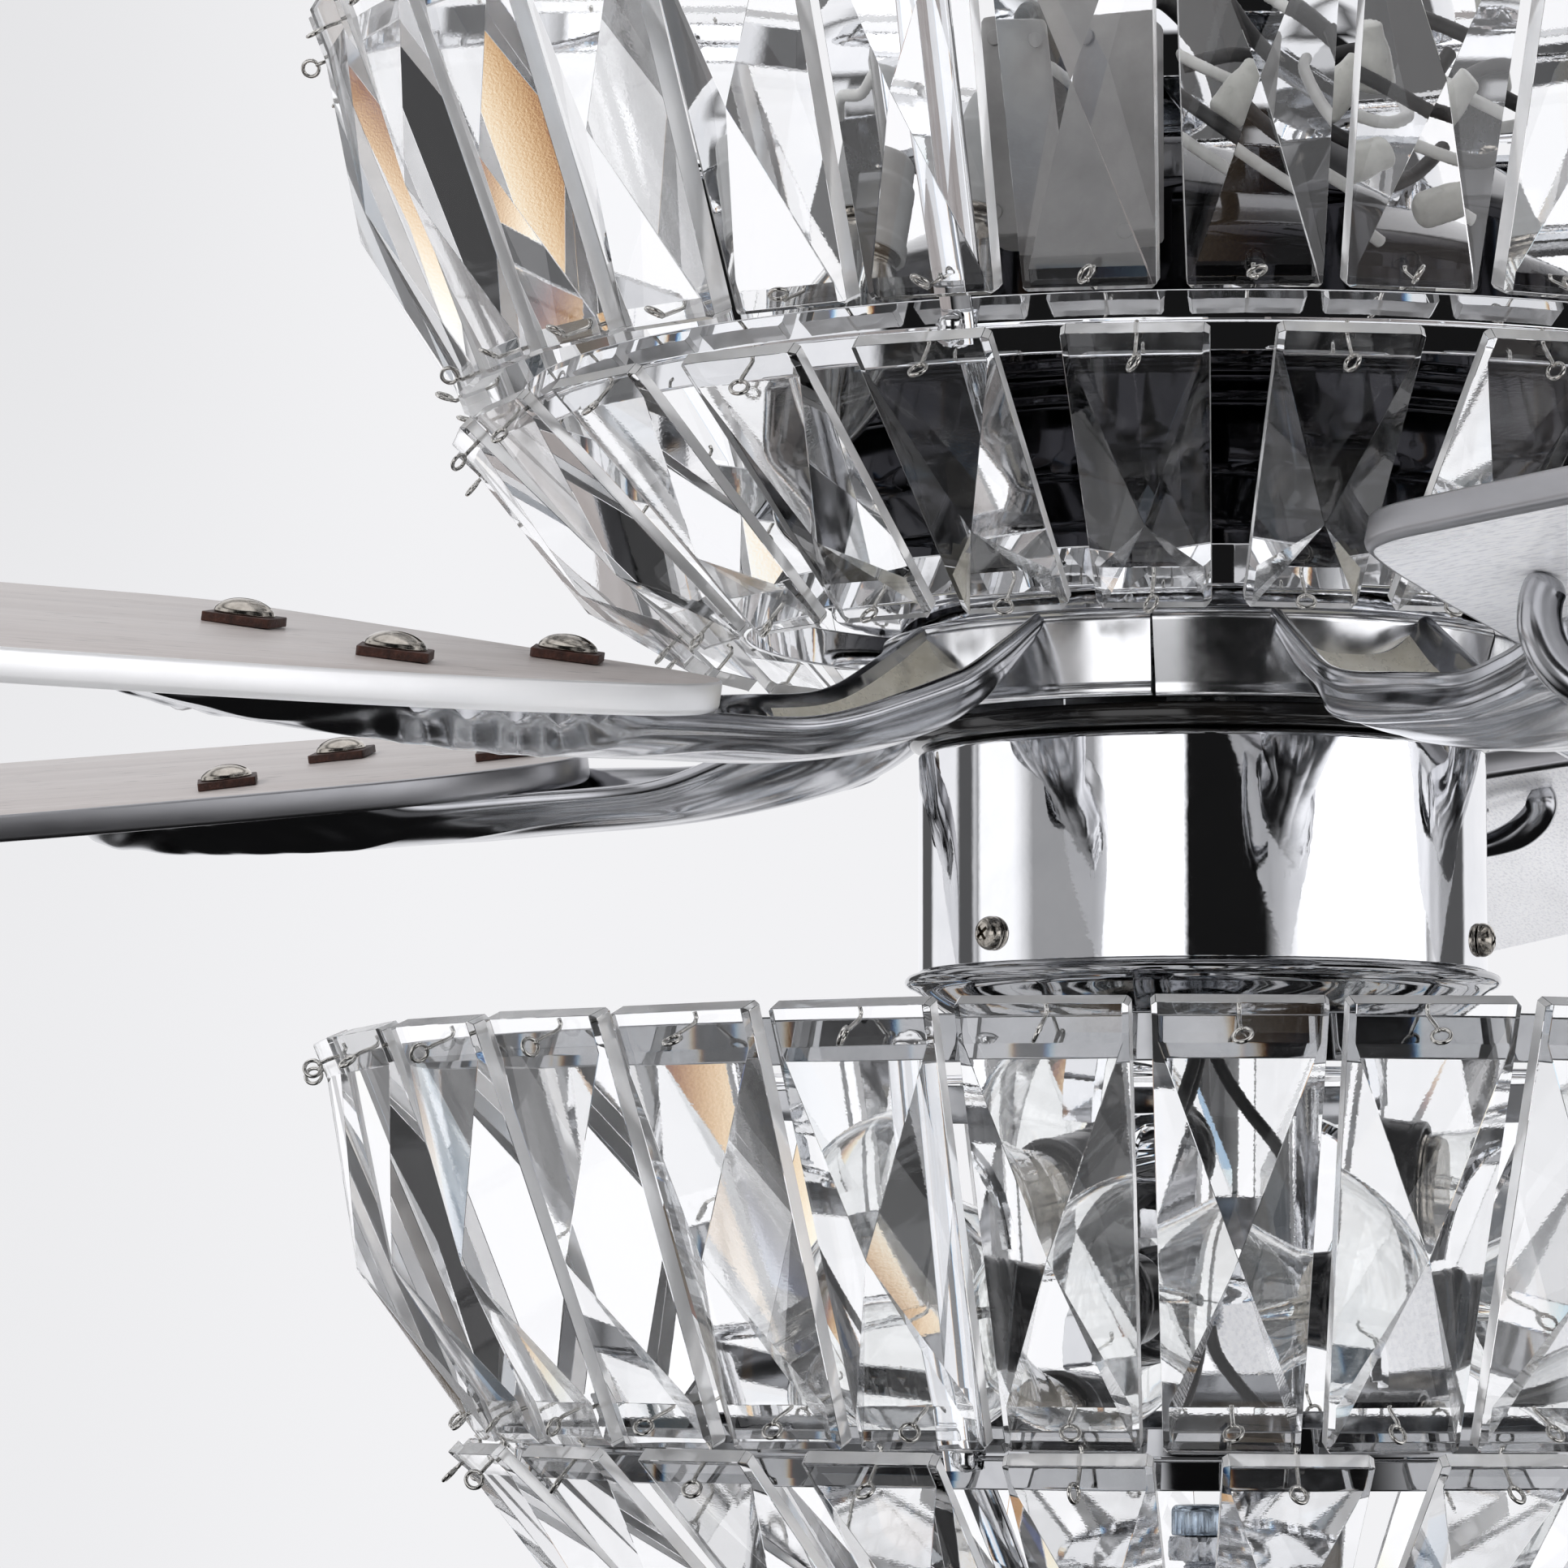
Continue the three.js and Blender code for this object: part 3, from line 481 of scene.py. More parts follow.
def wood_mat():
    m, nt, p = new_mat("blade_grain")
    v = coords(nt, (9, 150, 150))
    w = coords(nt, (2.2, 60, 60))
    n1 = noise(nt, w, 1.0, 4.0, 0.55, 0.6)
    n2 = noise(nt, v, 1.0, 5.0, 0.7, 0.3)
    mix = node(nt, "ShaderNodeMix", data_type="FLOAT")
    mix.inputs["Factor"].default_value = 0.5
    nt.links.new(n1.outputs["Fac"], mix.inputs["A"])
    nt.links.new(n2.outputs["Fac"], mix.inputs["B"])
    c = ramp(nt, mix.outputs["Result"], [(0.30, (0.36, 0.31, 0.29)), (0.48, (0.50, 0.45, 0.43)), (0.62, (0.59, 0.545, 0.525)), (0.78, (0.66, 0.62, 0.60))])
    # fine dark pores
    pv = coords(nt, (60, 620, 620))
    n3 = noise(nt, pv, 1.0, 2.0, 0.6)
    pr = ramp(nt, n3.outputs["Fac"], [(0.27, 0.22), (0.36, 1.0)])
    mul = node(nt, "ShaderNodeMix", data_type="RGBA", blend_type="MULTIPLY")
    mul.inputs["Factor"].default_value = 1.0
    nt.links.new(c.outputs["Color"], mul.inputs["A"])
    nt.links.new(pr.outputs["Color"], mul.inputs["B"])
    nt.links.new(mul.outputs["Result"], p.inputs["Base Color"])
    r = ramp(nt, n2.outputs["Fac"], [(0.3, 0.30), (0.7, 0.44)])
    nt.links.new(r.outputs["Color"], p.inputs["Roughness"])
    b = node(nt, "ShaderNodeBump", Strength=0.3, Distance=0.0003)
    nt.links.new(n3.outputs["Fac"], b.inputs["Height"])
    nt.links.new(b.outputs["Normal"], p.inputs["Normal"])
    p.inputs["Specular IOR Level"].default_value = 0.5
    return m


WOOD = wood_mat()


def brushed_mat():
    m, nt, p = new_mat("blade_underside")
    v = coords(nt, (170, 1300, 1300))
    n1 = noise(nt, v, 1.0, 4.0, 0.6)
    n2 = noise(nt, coords(nt, (3, 40, 40)), 1.0, 3.0, 0.5)
    c = ramp(nt, n1.outputs["Fac"], [(0.36, (0.74, 0.745, 0.775)), (0.5, (0.95, 0.955, 0.98)), (0.62, (1.0, 1.0, 1.0))])
    nt.links.new(c.outputs["Color"], p.inputs["Base Color"])
    r = ramp(nt, n2.outputs["Fac"], [(0.3, 0.26), (0.7, 0.38)])
    nt.links.new(r.outputs["Color"], p.inputs["Roughness"])
    p.inputs["Metallic"].default_value = 0.5
    b = node(nt, "ShaderNodeBump", Strength=0.3, Distance=0.0002)
    nt.links.new(n1.outputs["Fac"], b.inputs["Height"])
    nt.links.new(b.outputs["Normal"], p.inputs["Normal"])
    return m


BRUSHED = brushed_mat()


# ------------------------------------------------------------------ camera
CAM = dict(f=7796.0, d=1467.9, yaw=3.79, pitch=5.03, roll=0.113)
cam_data = bpy.data.cameras.new("camera")
cam = bpy.data.objects.new("camera", cam_data)
scene.collection.objects.link(cam)
scene.camera = cam
cam_data.sensor_fit = "HORIZONTAL"
cam_data.sensor_width = 36.0
cam_data.lens = CAM["f"] / 1932 * 36.0
cam_data.clip_start, cam_data.clip_end = 0.05, 60
yw, pt, rl = radians(CAM["yaw"]), radians(CAM["pitch"]), radians(CAM["roll"])
fwd = Vector((-sin(yw) * cos(pt), cos(yw) * cos(pt), sin(pt)))
right = Vector((cos(yw), sin(yw), 0))
up = right.cross(fwd)
rr = right * cos(rl) + up * sin(rl)
uu = up * cos(rl) - right * sin(rl)
cam.matrix_world = axes_matrix(rr, uu, -fwd, Vector((0, -CAM["d"] * MM, -CEIL * MM)))

# ------------------------------------------------------------------ motor, hub, shaft
RB = "rotor"
HB = "hanging_fan"

m = Mesher()
m.lathe([(x, y - CEIL) for x, y in rounded([
    [18.4, 269.6], [72, 269.6], [100, 252], [100, 214], [98.6, 212.4], [98.6, 211], [100, 209.4], [100, 206], [98.9, 204.7], [100, 203.4],
    [100, 190], [88, 178.6], [88, 171.2], [85.6, 171.2], [85.6, 179.6], [97.0, 190], [97.0, 250.7], [71.3, 267.2], [18.4, 267.2]],
    [0.5, 6, 5, 0.5, 0.5, 0.5, 0.5, 0.4, 0.4, 0.4, 4, 2, 0.6, 0.4, 1, 3, 4, 4, 0.4])], 160)
m.make("motor_can_shell", [DARK_CHROME], body=RB, slot="dark_chrome", replaces=["motor_can"])
m = Mesher()
for i in range(8):
    a = 22.5 + 45 * i
    m.lathe(rounded([[0, 0], [3.1, 0], [3.1, 1.2], [2.6, 2.4], [0, 3.0]], [0, 0.3, 0.5, 0.6, 0], closed=False), 20, closed=False,
            matrix=Matrix.Translation(pol(64, a, 270.0)))
m.make("motor_can_screws", [NICKEL], body=RB, slot="nickel")
m = Mesher()
m.lathe([(x, y - CEIL) for x, y in rounded([[18.4, 162.2], [70, 162.2], [70, 167.5], [86, 168.2], [86, 170.7], [18.4, 170.7]], 0.8)], 128)
m.make("hub_flange", [CHROME], body=RB, slot="chrome", replaces=["rotor_hub"])

# ------------------------------------------------------------------ blades
PITCH, DROOP, TOP, THICK = 12.3, 0.85, 147.0, 7.0
OUTLINE = [(163.5, 16), (164.5, 7), (173, -6), (189, -32), (203, -55), (216, -74), (224, -81.5), (236, -84.5), (262, -85), (400, -84), (600, -81),
           (634, -76), (650, -66), (658, -49), (660, -22), (660, 14), (657, 40), (648, 56), (632, 64), (600, 67), (400, 64),
           (300, 59), (250, 52), (216, 45), (200, 41), (188, 36.5), (177, 30.5), (168, 23.5)]


def blade_matrix(az):
    d, b = radians(DROOP), radians(PITCH)
    er = er_(az) * cos(d) - Vector((0, 0, 1)) * sin(d)
    up0 = er_(az) * sin(d) + Vector((0, 0, 1)) * cos(d)
    ew = et_(az) * cos(b) - up0 * sin(b)
    upv = et_(az) * sin(b) + up0 * cos(b)
    return axes_matrix(er, ew, upv, Vector((0, 0, TOP - CEIL)))


def closed_curve(pts, per=6):
    """Catmull-Rom through closed points."""
    n = len(pts)
    out = []
    for i in range(n):
        p0, p1, p2, p3 = (Vector(pts[(i + k) % n]) for k in (-1, 0, 1, 2))
        L = (p2 - p1).length
        steps = max(3, min(14, int(L / 4)))
        for s in range(steps):
            t = s / steps
            # centripetal spacing keeps long straight sides straight
            t0 = 0.0
            t1 = t0 + (p1 - p0).length ** 0.5
            t2 = t1 + (p2 - p1).length ** 0.5
            t3 = t2 + (p3 - p2).length ** 0.5
            u = t1 + (t2 - t1) * t
            a1 = p0 * ((t1 - u) / (t1 - t0)) + p1 * ((u - t0) / (t1 - t0))
            a2 = p1 * ((t2 - u) / (t2 - t1)) + p2 * ((u - t1) / (t2 - t1))
            a3 = p2 * ((t3 - u) / (t3 - t2)) + p3 * ((u - t2) / (t3 - t2))
            b1 = a1 * ((t2 - u) / (t2 - t0)) + a2 * ((u - t0) / (t2 - t0))
            b2 = a2 * ((t3 - u) / (t3 - t1)) + a3 * ((u - t1) / (t3 - t1))
            out.append(b1 * ((t2 - u) / (t2 - t1)) + b2 * ((u - t1) / (t2 - t1)))
    return out


blade_outline = closed_curve(OUTLINE)


def make_blade(i, az):
    m = Mesher()
    n = len(blade_outline)
    cx = Vector((400, -9))

    def ring(off, z):
        # offset inwards along the outline's normal
        out = []
        for k, p in enumerate(blade_outline):
            d = (blade_outline[(k + 1) % n] - blade_outline[k - 1]).normalized()
            nrm = Vector((-d.y, d.x))
            if (cx - p).dot(nrm) < 0:
                nrm = -nrm
            q = p + nrm * off
            out.append(Vector((q.x, q.y, z)))
        return out
    prof = [(2.2, -THICK), (1.1, -THICK + 0.2), (0.35, -THICK + 0.75), (0.0, -THICK + 1.7), (0.0, -0.8), (0.08, -0.35), (0.3, -0.08), (0.6, 0.0)]
    rings = [ring(o, z) for o, z in prof]
    verts = [p for r in rings for p in r]
    faces, mats = [], []
    for a in range(len(rings) - 1):
        for k in range(n):
            faces.append([a * n + k, a * n + (k + 1) % n, (a + 1) * n + (k + 1) % n, (a + 1) * n + k])
            mats.append(1)
    m.add(verts, faces, 1)
    last = (len(rings) - 1) * n
    m.f.append([last + k for k in range(n)]); m.m.append(0)
    m.f.append([k for k in range(n)][::-1]); m.m.append(2)
    mat = blade_matrix(az)
    m.v = [mat @ p for p in m.v]
    # blade 1's edges take the lighter copy of the edge finish, a painted highlight
    return m.make("blade_board_%d" % i, [WOOD, EDGE_PAINTED_HIGHLIGHT if i == 1 else EDGE, BRUSHED], body=RB, slot="blade_board", replaces=["blade_%d" % i], at=mat, recalc=True, sharp=40)


def make_screws(i, az):
    base = blade_matrix(az)
    first = None
    for k, (r, t, turn, wt) in enumerate([(192, 0, 84, 3), (258.5, -26, 92, -5), (258.5, 26, 78, 6)]):
        # square fibre washer, a little out of square and not quite flat
        m = Mesher()
        wm = base @ Matrix.Translation((r, t, 0)) @ Matrix.Rotation(radians(wt - az + rnd.uniform(-3, 3)), 4, "Z") @ Matrix.Rotation(radians(rnd.uniform(0.3, 1.2)), 4, "X")
        out = rounded([[-7.3, -7.4], [7.4, -7.3], [7.5, 7.4], [-7.3, 7.5]], 1.0, 3)
        m.prism([(x + rnd.uniform(-0.12, 0.12), y + rnd.uniform(-0.12, 0.12)) for x, y in out], 0.15, 2.1)
        m.v = [wm @ p for p in m.v]
        w = m.make("blade_washer_%d_%d" % (i, k + 1), [FIBRE], body=RB, slot="nickel", at=wm, bevel=0.12, segs=1)
        # domed slotted head
        m = Mesher()
        sm = base @ Matrix.Translation((r, t, 2.15)) @ Matrix.Rotation(radians(turn - az + rnd.uniform(-14, 14)), 4, "Z")
        R, H, rim = 6.3, 2.75, 0.55
        rows = 15
        n = 72
        slot_w, slot_d = 0.85, 1.55
        verts, faces = [], []
        prof = [(0.0001, rim + H)] + [(R * sin(a) ** 0.9, rim + H * (0.62 * cos(a) + 0.38 * cos(a) ** 2)) for a in [pi / 2 * j / rows for j in range(1, rows)]] + [(R, rim), (R + 0.15, rim * 0.5), (R, 0.0), (2.5, 0.0), (2.5, -4.0)]
        # the head as a grid in polar form
        for (pr, ph) in prof:
            for q in range(n):
                a = 2 * pi * q / n
                x, y = pr * cos(a), pr * sin(a)
                z = ph
                verts.append([x, y, z])
        for a in range(len(prof) - 1):
            for q in range(n):
                faces.append([a * n + q, a * n + (q + 1) % n, (a + 1) * n + (q + 1) % n, (a + 1) * n + q][::-1])
        faces.append([q for q in range(n)])
        faces.append([(len(prof) - 1) * n + q for q in range(n)][::-1])
        m.add(verts, faces)
        m.v = [sm @ p for p in m.v]
        ob = m.make("blade_screw_%d_%d" % (i, k + 1), [NICKEL], body=RB, slot="nickel", at=sm, sharp=50, recalc=True,
                    replaces=["blade_screws_%d" % i] if k == 0 else ())
        # slot cut with a thin bar
        c = Mesher()
        c.prism([(-R * 1.2, -slot_w), (R * 1.2, -slot_w), (R * 1.2, slot_w), (-R * 1.2, slot_w)], rim + H - slot_d, rim + H + 3)
        c.v = [sm @ p for p in c.v]
        cutter = c.make("cutter", [NICKEL], at=sm)
        cut(ob, cutter)
        bev = ob.modifiers.new("Edge", "BEVEL")
        bev.width, bev.segments, bev.limit_method, bev.angle_limit = 0.00018, 2, "ANGLE", radians(50)


def cut(ob, cutter, keep=False):
    md = ob.modifiers.new("Cut", "BOOLEAN")
    md.operation, md.object, md.solver = "DIFFERENCE", cutter, "EXACT"
    bpy.context.view_layer.update()
    dg = bpy.context.evaluated_depsgraph_get()
    me = bpy.data.meshes.new_from_object(ob.evaluated_get(dg), preserve_all_data_layers=True, depsgraph=dg)
    ob.modifiers.remove(md)
    ob.data = me
    me.polygons.foreach_set("use_smooth", [True] * len(me.polygons))
    me.set_sharp_from_angle(angle=radians(40))
    if not keep:
        bpy.data.objects.remove(cutter)


# ------------------------------------------------------------------ blade irons
# along the iron: distance, half width, rim height, underside height, share of the pitch
IRON = [
    (71.8, 20, 161.4, 150.0, 0), (82, 20.5, 155.0, 139.8, 0), (97, 21, 146.5, 132.8, 0.05), (118, 19.5, 141.0, 128.4, 0.35),
    (142, 17.5, 137.3, 125.9, 1), (172, 23, 137.0, 124.9, 1), (205, 33, 137.0, 124.0, 1), (240, 41, 136.6, 124.6, 1),
    (268, 42, 136.2, 125.8, 1), (292, 35, 135.8, 127.6, 1), (305, 25, 135.4, 129.2, 1), (314, 10, 135.0, 131.4, 1)]
R_TIP = 314


def iron_frame(r, az):
    share = smooth((r - 97) / 45)
    b = radians(PITCH * share)
    ew = et_(az) * cos(b) - Vector((0, 0, 1)) * sin(b)
    return ew, Vector((0, 0, 1)) * cos(b) + et_(az) * sin(b)


def bump(x, c, w):
    t = (x - c) / w
    return (1 - t * t) ** 2 if abs(t) < 1 else 0.0


def iron_side(r, side, w, deep, teeth):
    """Half of the outer section, from the middle of the underside to the rim, in width and height."""
    leaf = smooth((r - 190) / 34)
    N = 88
    pts = []
    for k in range(N + 1):
        s = k / N
        th = s * pi / 2
        x1, y1 = w * sin(th) ** 0.8, deep * (1 - cos(th) ** 0.85)
        x2 = w * (s ** 0.92)
        y2 = deep * (0.22 * s * s + 0.78 * smooth((s - 0.66) / 0.34))
        pts.append([x1 * (1 - leaf) + x2 * leaf, y1 * (1 - leaf) + y2 * leaf])
    out = []
    tip = smooth((R_TIP - r) / 30)
    for k, (x, y) in enumerate(pts):
        s = k / N
        a, b = pts[max(0, k - 1)], pts[min(N, k + 1)]
        t = Vector((b[0] - a[0], b[1] - a[1]))
        t = t.normalized() if t.length > 1e-6 else Vector((1, 0))
        nx, ny = t.y, -t.x
        d = 0.0
        edge = smooth(s / 0.10) * smooth((1.0 - s) / 0.05)
        # rounded keel
        d += 0.7 * bump(s, 0.0, 0.12)
        if side < 0:
            # thin hollow flange over a long swelling that starts with a round end, fine lines under it
            start = smooth((r - 91) / 8) * (1 - 0.8 * leaf)
            c = 0.62 + 0.05 * smooth((104 - r) / 14)
            d += 2.7 * start * bump(s, c, 0.20) - 1.1 * (1 - leaf) * bump(s, 0.88, 0.13)
            d -= 0.5 * (1 - leaf) * start * bump(s, 0.40, 0.05)
        else:
            # smooth dark belly under a thick rounded rim
            d += 1.0 * (1 - leaf) * bump(s, 0.93, 0.15)
        if leaf > 0:
            # teeth along the rim, each running down and back into a long curved flute
            q = (r - 214) / 13.2 + (1 - s) * (3.4 if side > 0 else 2.4)
            ridge = abs(((q + 0.5) % 1.0) - 0.5) * 2          # 1 on the crest
            crest = ridge ** 0.8
            win = leaf * smooth((276 - r) / 14) * teeth
            d += win * edge * 1.7 * (crest - 0.5) * smooth((s - 0.52) / 0.35)
            y -= win * 3.4 * (1 - ridge) ** 1.3 * smooth((s - 0.78) / 0.22) * (1.0 if side > 0 else 0.6)
            # nested folds on the tip
            far = smooth((r - 262) / 16)
            rr_ = math.hypot((r - 262) / (R_TIP - 262), 0.96 * s) if r > 262 else 0
            d += far * tip * 0.35 * cos(2 * pi * rr_ * 4.5) * smooth((rr_ - 0.25) / 0.2) * (1 if s < 0.97 else 0.3)
        if side > 0:
            # a curved fold lying along the neck
            g = (s - 0.62 + 0.30 * ((r - 158) / 40) ** 2) / 0.11
            d += 0.55 * (1 - abs(g)) ** 2 * smooth((r - 128) / 12) * smooth((198 - r) / 20) if abs(g) < 1 else 0.0
        out.append((x + nx * d, min(deep, y + ny * d)))
    return out


def iron_section(r, az, teeth):
    w = max(3.0, spline_table(IRON, r, 1))
    top = spline_table(IRON, r, 2)
    bot = min(top - 2.4, spline_table(IRON, r, 3))
    deep = top - bot
    ew, upv = iron_frame(r, az)
    o = er_(az) * r + Vector((0, 0, bot - CEIL))
    leaf = smooth((r - 190) / 34)
    L = iron_side(r, -1, w, deep, teeth)
    R = iron_side(r, 1, w, deep, teeth)
    outer = [(-x, y) for x, y in reversed(L)] + R[1:]
    # rolled rim, then back inside
    wall = 2.6 * (1 - leaf) + 1.4 * leaf
    inner = []
    M = 26
    wr, wl = R[-1][0], L[-1][0]
    for k in range(M + 1):
        u = 1 - 2 * k / M
        ww = (wr if u > 0 else wl) - (3.0 * (1 - leaf) + 1.6 * leaf)
        hi = deep - 0.15
        floor_ = min(wall, deep * 0.5)
        y = floor_ + (hi - floor_) * abs(u) ** 3.4
        y = y * (1 - leaf) + (hi - 1.1 * (1 - abs(u) ** 4)) * leaf
        inner.append((u * max(1.0, ww), y))
    rimr = [(wr - 0.25, deep + 0.35), (wr - 0.9, deep + 0.55), (wr - 1.7, deep + 0.45)] if leaf < 0.6 else [(wr - 0.3, deep + 0.02), (wr - 0.6, deep + 0.03), (wr - 1.0, deep)]
    riml = [(-x, y) for x, y in reversed(rimr)]
    if leaf < 0.6:
        riml = [(-(wl - 1.7), deep + 0.45), (-(wl - 0.9), deep + 0.55), (-(wl - 0.25), deep + 0.35)]
    else:
        riml = [(-(wl - 1.0), deep), (-(wl - 0.6), deep + 0.03), (-(wl - 0.3), deep + 0.02)]
    pts = outer + rimr + inner + riml
    res = []
    n0 = len(outer) + len(rimr)
    for i, (x, y) in enumerate(pts):
        if n0 + 2 < i < n0 + M - 1 and r < 150:
            nn = mnoise.noise(Vector((r * 0.16, x * 0.2, az))) * 1.0 + mnoise.noise(Vector((r * 0.5, x * 0.6, az + 9))) * 0.5
            step = 1.1 * smooth(abs(nn) * 3) * (1 if nn > 0 else -0.6)
            y = min(deep - 0.3, max(0.9, y + step * smooth((r - 74) / 6) * smooth((150 - r) / 14)))
        res.append(o + ew * x + upv * y)
    return res, len(outer), n0, M


def make_iron(i, az):
    m = Mesher()
    rs = [72 + (R_TIP - 72) * k / 170 for k in range(171)]
    secs = [iron_section(r, az, 0.25 if i == 2 else 1.0) for r in rs]
    rings = [q[0] for q in secs]
    n = len(rings[0])
    n0, M = secs[0][2], secs[0][3]
    verts = [p for r in rings for p in r]
    faces, mats = [], []
    for a in range(len(rings) - 1):
        for k in range(n):
            faces.append([a * n + k, a * n + (k + 1) % n, (a + 1) * n + (k + 1) % n, (a + 1) * n + k])
            rag = mnoise.noise(Vector((k * 0.7, a * 0.13, az))) * 7
            mats.append(1 if (n0 + 1 < k < n0 + M - 1 and rs[a] < 124 + rag) else 0)
    faces.append([k for k in range(n)][::-1]); mats.append(0)
    faces.append([(len(rings) - 1) * n + k for k in range(n)]); mats.append(0)
    m.add(verts, faces)
    m.m = mats
    # skirt: a curved piece of the chrome ring with a rolled lower edge, and the flange under the motor
    q = -5.4 if i == 5 else -1.7
    skirt = [(x, y - CEIL) for x, y in rounded([
        [71.6, 161.8], [73.8, 161.8], [74.4, 160], [74.6 + q * 0.88, 145.5], [75.2 + q, 144.4], [75.0 + q, 142.9], [73.4 + q, 142.4], [72.2 + q, 143.2],
        [72.4 + q * 0.88, 146], [72.2, 159]], [0.4, 0.8, 1.5, 1.0, 1, 1, 0.8, 0.7, 2, 2])]
    m.lathe(skirt, 36, 2, None, True, az - 35.8, az + 35.8)
    m.lathe([(x, y - CEIL) for x, y in rounded([[42, 158.6], [73, 158.6], [73, 161.8], [42, 161.8]], 0.6)], 24, 0, None, True, az - 28, az + 28)
    # scroll where the leaf opens on its raised side
    bm_ = blade_matrix(az)
    # curled fold where the leaf meets the board on its raised side
    path = [(249, -53, -7.6), (248.5, -54, -12), (249.5, -53.5, -18), (252, -50.5, -24), (257, -45, -28.5), (264, -37, -29), (270, -27, -26), (274, -18, -22)]
    hang = 1.0 if i == 5 else 0.42
    pts = curve_pts([bm_ @ Vector((p[0], p[1], -7.6 + (p[2] + 7.6) * hang)) for p in path], 7)
    nn = len(pts)
    m.tube(pts, [4.4 * (0.45 + 0.55 * smooth((k + 2) / 6)) * (1 - 0.45 * smooth((k - nn * 0.45) / (nn * 0.5))) for k in range(nn)], 18)
    return m.make("blade_iron_cast_%d" % i, [CAST_CHROME, BRASS, SATIN_CHROME], body=RB, slot="chrome", replaces=["blade_iron_%d" % i], sharp=38, recalc=True)


for i in range(5):
    az = -44.5 - 72 * i
    make_blade(i + 1, az)
    make_screws(i + 1, az)
    make_iron(i + 1, az)

# ------------------------------------------------------------------ switch housing
m = Mesher()
m.lathe([(x, y - CEIL) for x, y in rounded([[8.3, 136.6], [66.5, 136.6], [68.4, 138], [68.4, 140.6], [67.4, 141.8], [8.3, 141.8]],
                                            [0.4, 1.2, 1.4, 1.4, 1, 0.4])], 144)
m.make("switch_band", [BLACK_GLOSS], body=HB, slot="black_plastic", replaces=["switch_plate"])
SCREW_AZ = [-45.7, 74.3, 194.3]
m = Mesher()
m.lathe([(x, y - CEIL) for x, y in rounded([
    [8.3, 136.3], [64.6, 136.3], [65.8, 135.2], [65.8, 85.0], [64.4, 85.0], [64.4, 134.9], [8.3, 134.9]], [0.3, 1.4, 1.2, 0.3, 0.3, 1, 0.3])], 192)
housing = m.make("switch_drum", [CHROME], body=HB, slot="chrome", replaces=["switch_housing"])
m = Mesher()
m.lathe([(x, y - CEIL) for x, y in rounded([
    [5.6, 71.6], [40, 70.2], [50, 70.6], [57, 73.6], [62.5, 77.6], [66, 80.4], [68.3, 81.4], [69.2, 82.6], [68.6, 84.0], [66.9, 84.6], [64.1, 84.4],
    [64.1, 98], [62.9, 98], [62.9, 82], [61, 79], [55.8, 75.4], [49.4, 72.4], [40, 72.0], [5.6, 73.4]],
    [0.3, 5, 5, 4, 3, 1.5, 0.9, 0.9, 0.9, 0.9, 0.3, 0.3, 0.3, 1, 2, 3, 3, 3, 0.3])], 192)
pan = m.make("light_pan", [GREY_CHROME], body=HB, slot="chrome", replaces=["fitter_pan"])
for k, a in enumerate(SCREW_AZ):
    sm = along(pol(65.8, a, 91.5), er_(a))
    m = Mesher()
    m.lathe(rounded([[0, 3.5], [1.8, 3.35], [3.3, 2.5], [3.9, 1.1], [3.9, 0.1], [2.0, 0.1], [2.0, -6.5], [0, -6.5]],
                    [0, 0.6, 0.9, 0.5, 0.2, 0.1, 0.4, 0], closed=False), 40, closed=False)
    m.v = [sm @ p for p in m.v]
    ob = m.make("drum_screw_%d" % (k + 1), [NICKEL], body=HB, slot="nickel", replaces=["housing_screw_%d" % (k + 1)], at=sm, recalc=True)
    c = Mesher()
    for turn in (35, 125):
        w = 0.42
        mm = Matrix.Rotation(radians(turn), 4, "Z")
        c.prism([(-1.9, -w), (1.9, -w), (1.9, w), (-1.9, w)], 1.6, 6, matrix=mm)
        cc = Mesher()
        cc.prism([(-1.9, -w), (1.9, -w), (1.9, w), (-1.9, w)], 1.7, 6, matrix=mm)
        cc.v = [sm @ p for p in cc.v]
        cut(ob, cc.make("cutter", [NICKEL], at=sm))


# ------------------------------------------------------------------ threaded pipes and nuts
def threaded(R, h0, h1, pitch=1.25, depth=0.55, bore=3.2, seg=40):
    m = Mesher()
    rows = int((h1 - h0) / pitch * 6) + 1
    verts, faces = [], []
    for j in range(rows + 1):
        z = h0 + (h1 - h0) * j / rows
        fade = min(1, (z - h0) / 1.2, (h1 - z) / 1.2)
        for k in range(seg):
            a = 2 * pi * k / seg
            ph = (z / pitch - k / seg) % 1.0
            tri = abs(2 * ph - 1)
            r = R - depth * (1 - smooth(tri)) * 1.0 - (1 - max(0, fade)) * 0.4
            verts.append((r * sin(a), -r * cos(a), z - CEIL))
    for j in range(rows):
        for k in range(seg):
            a, b = j * seg + k, j * seg + (k + 1) % seg
            faces.append([a, b, b + seg, a + seg])
    o = len(verts)
    for z in (h0, h1):
        for k in range(seg):
            a = 2 * pi * k / seg
            verts.append((bore * sin(a), -bore * cos(a), z - CEIL))
    for k in range(seg):
        k2 = (k + 1) % seg
        faces.append([k, o + k, o + k2, k2])
        faces.append([rows * seg + k, rows * seg + k2, o + seg + k2, o + seg + k])
        faces.append([o + k, o + seg + k, o + seg + k2, o + k2])
    m.add(verts, faces)
    return m


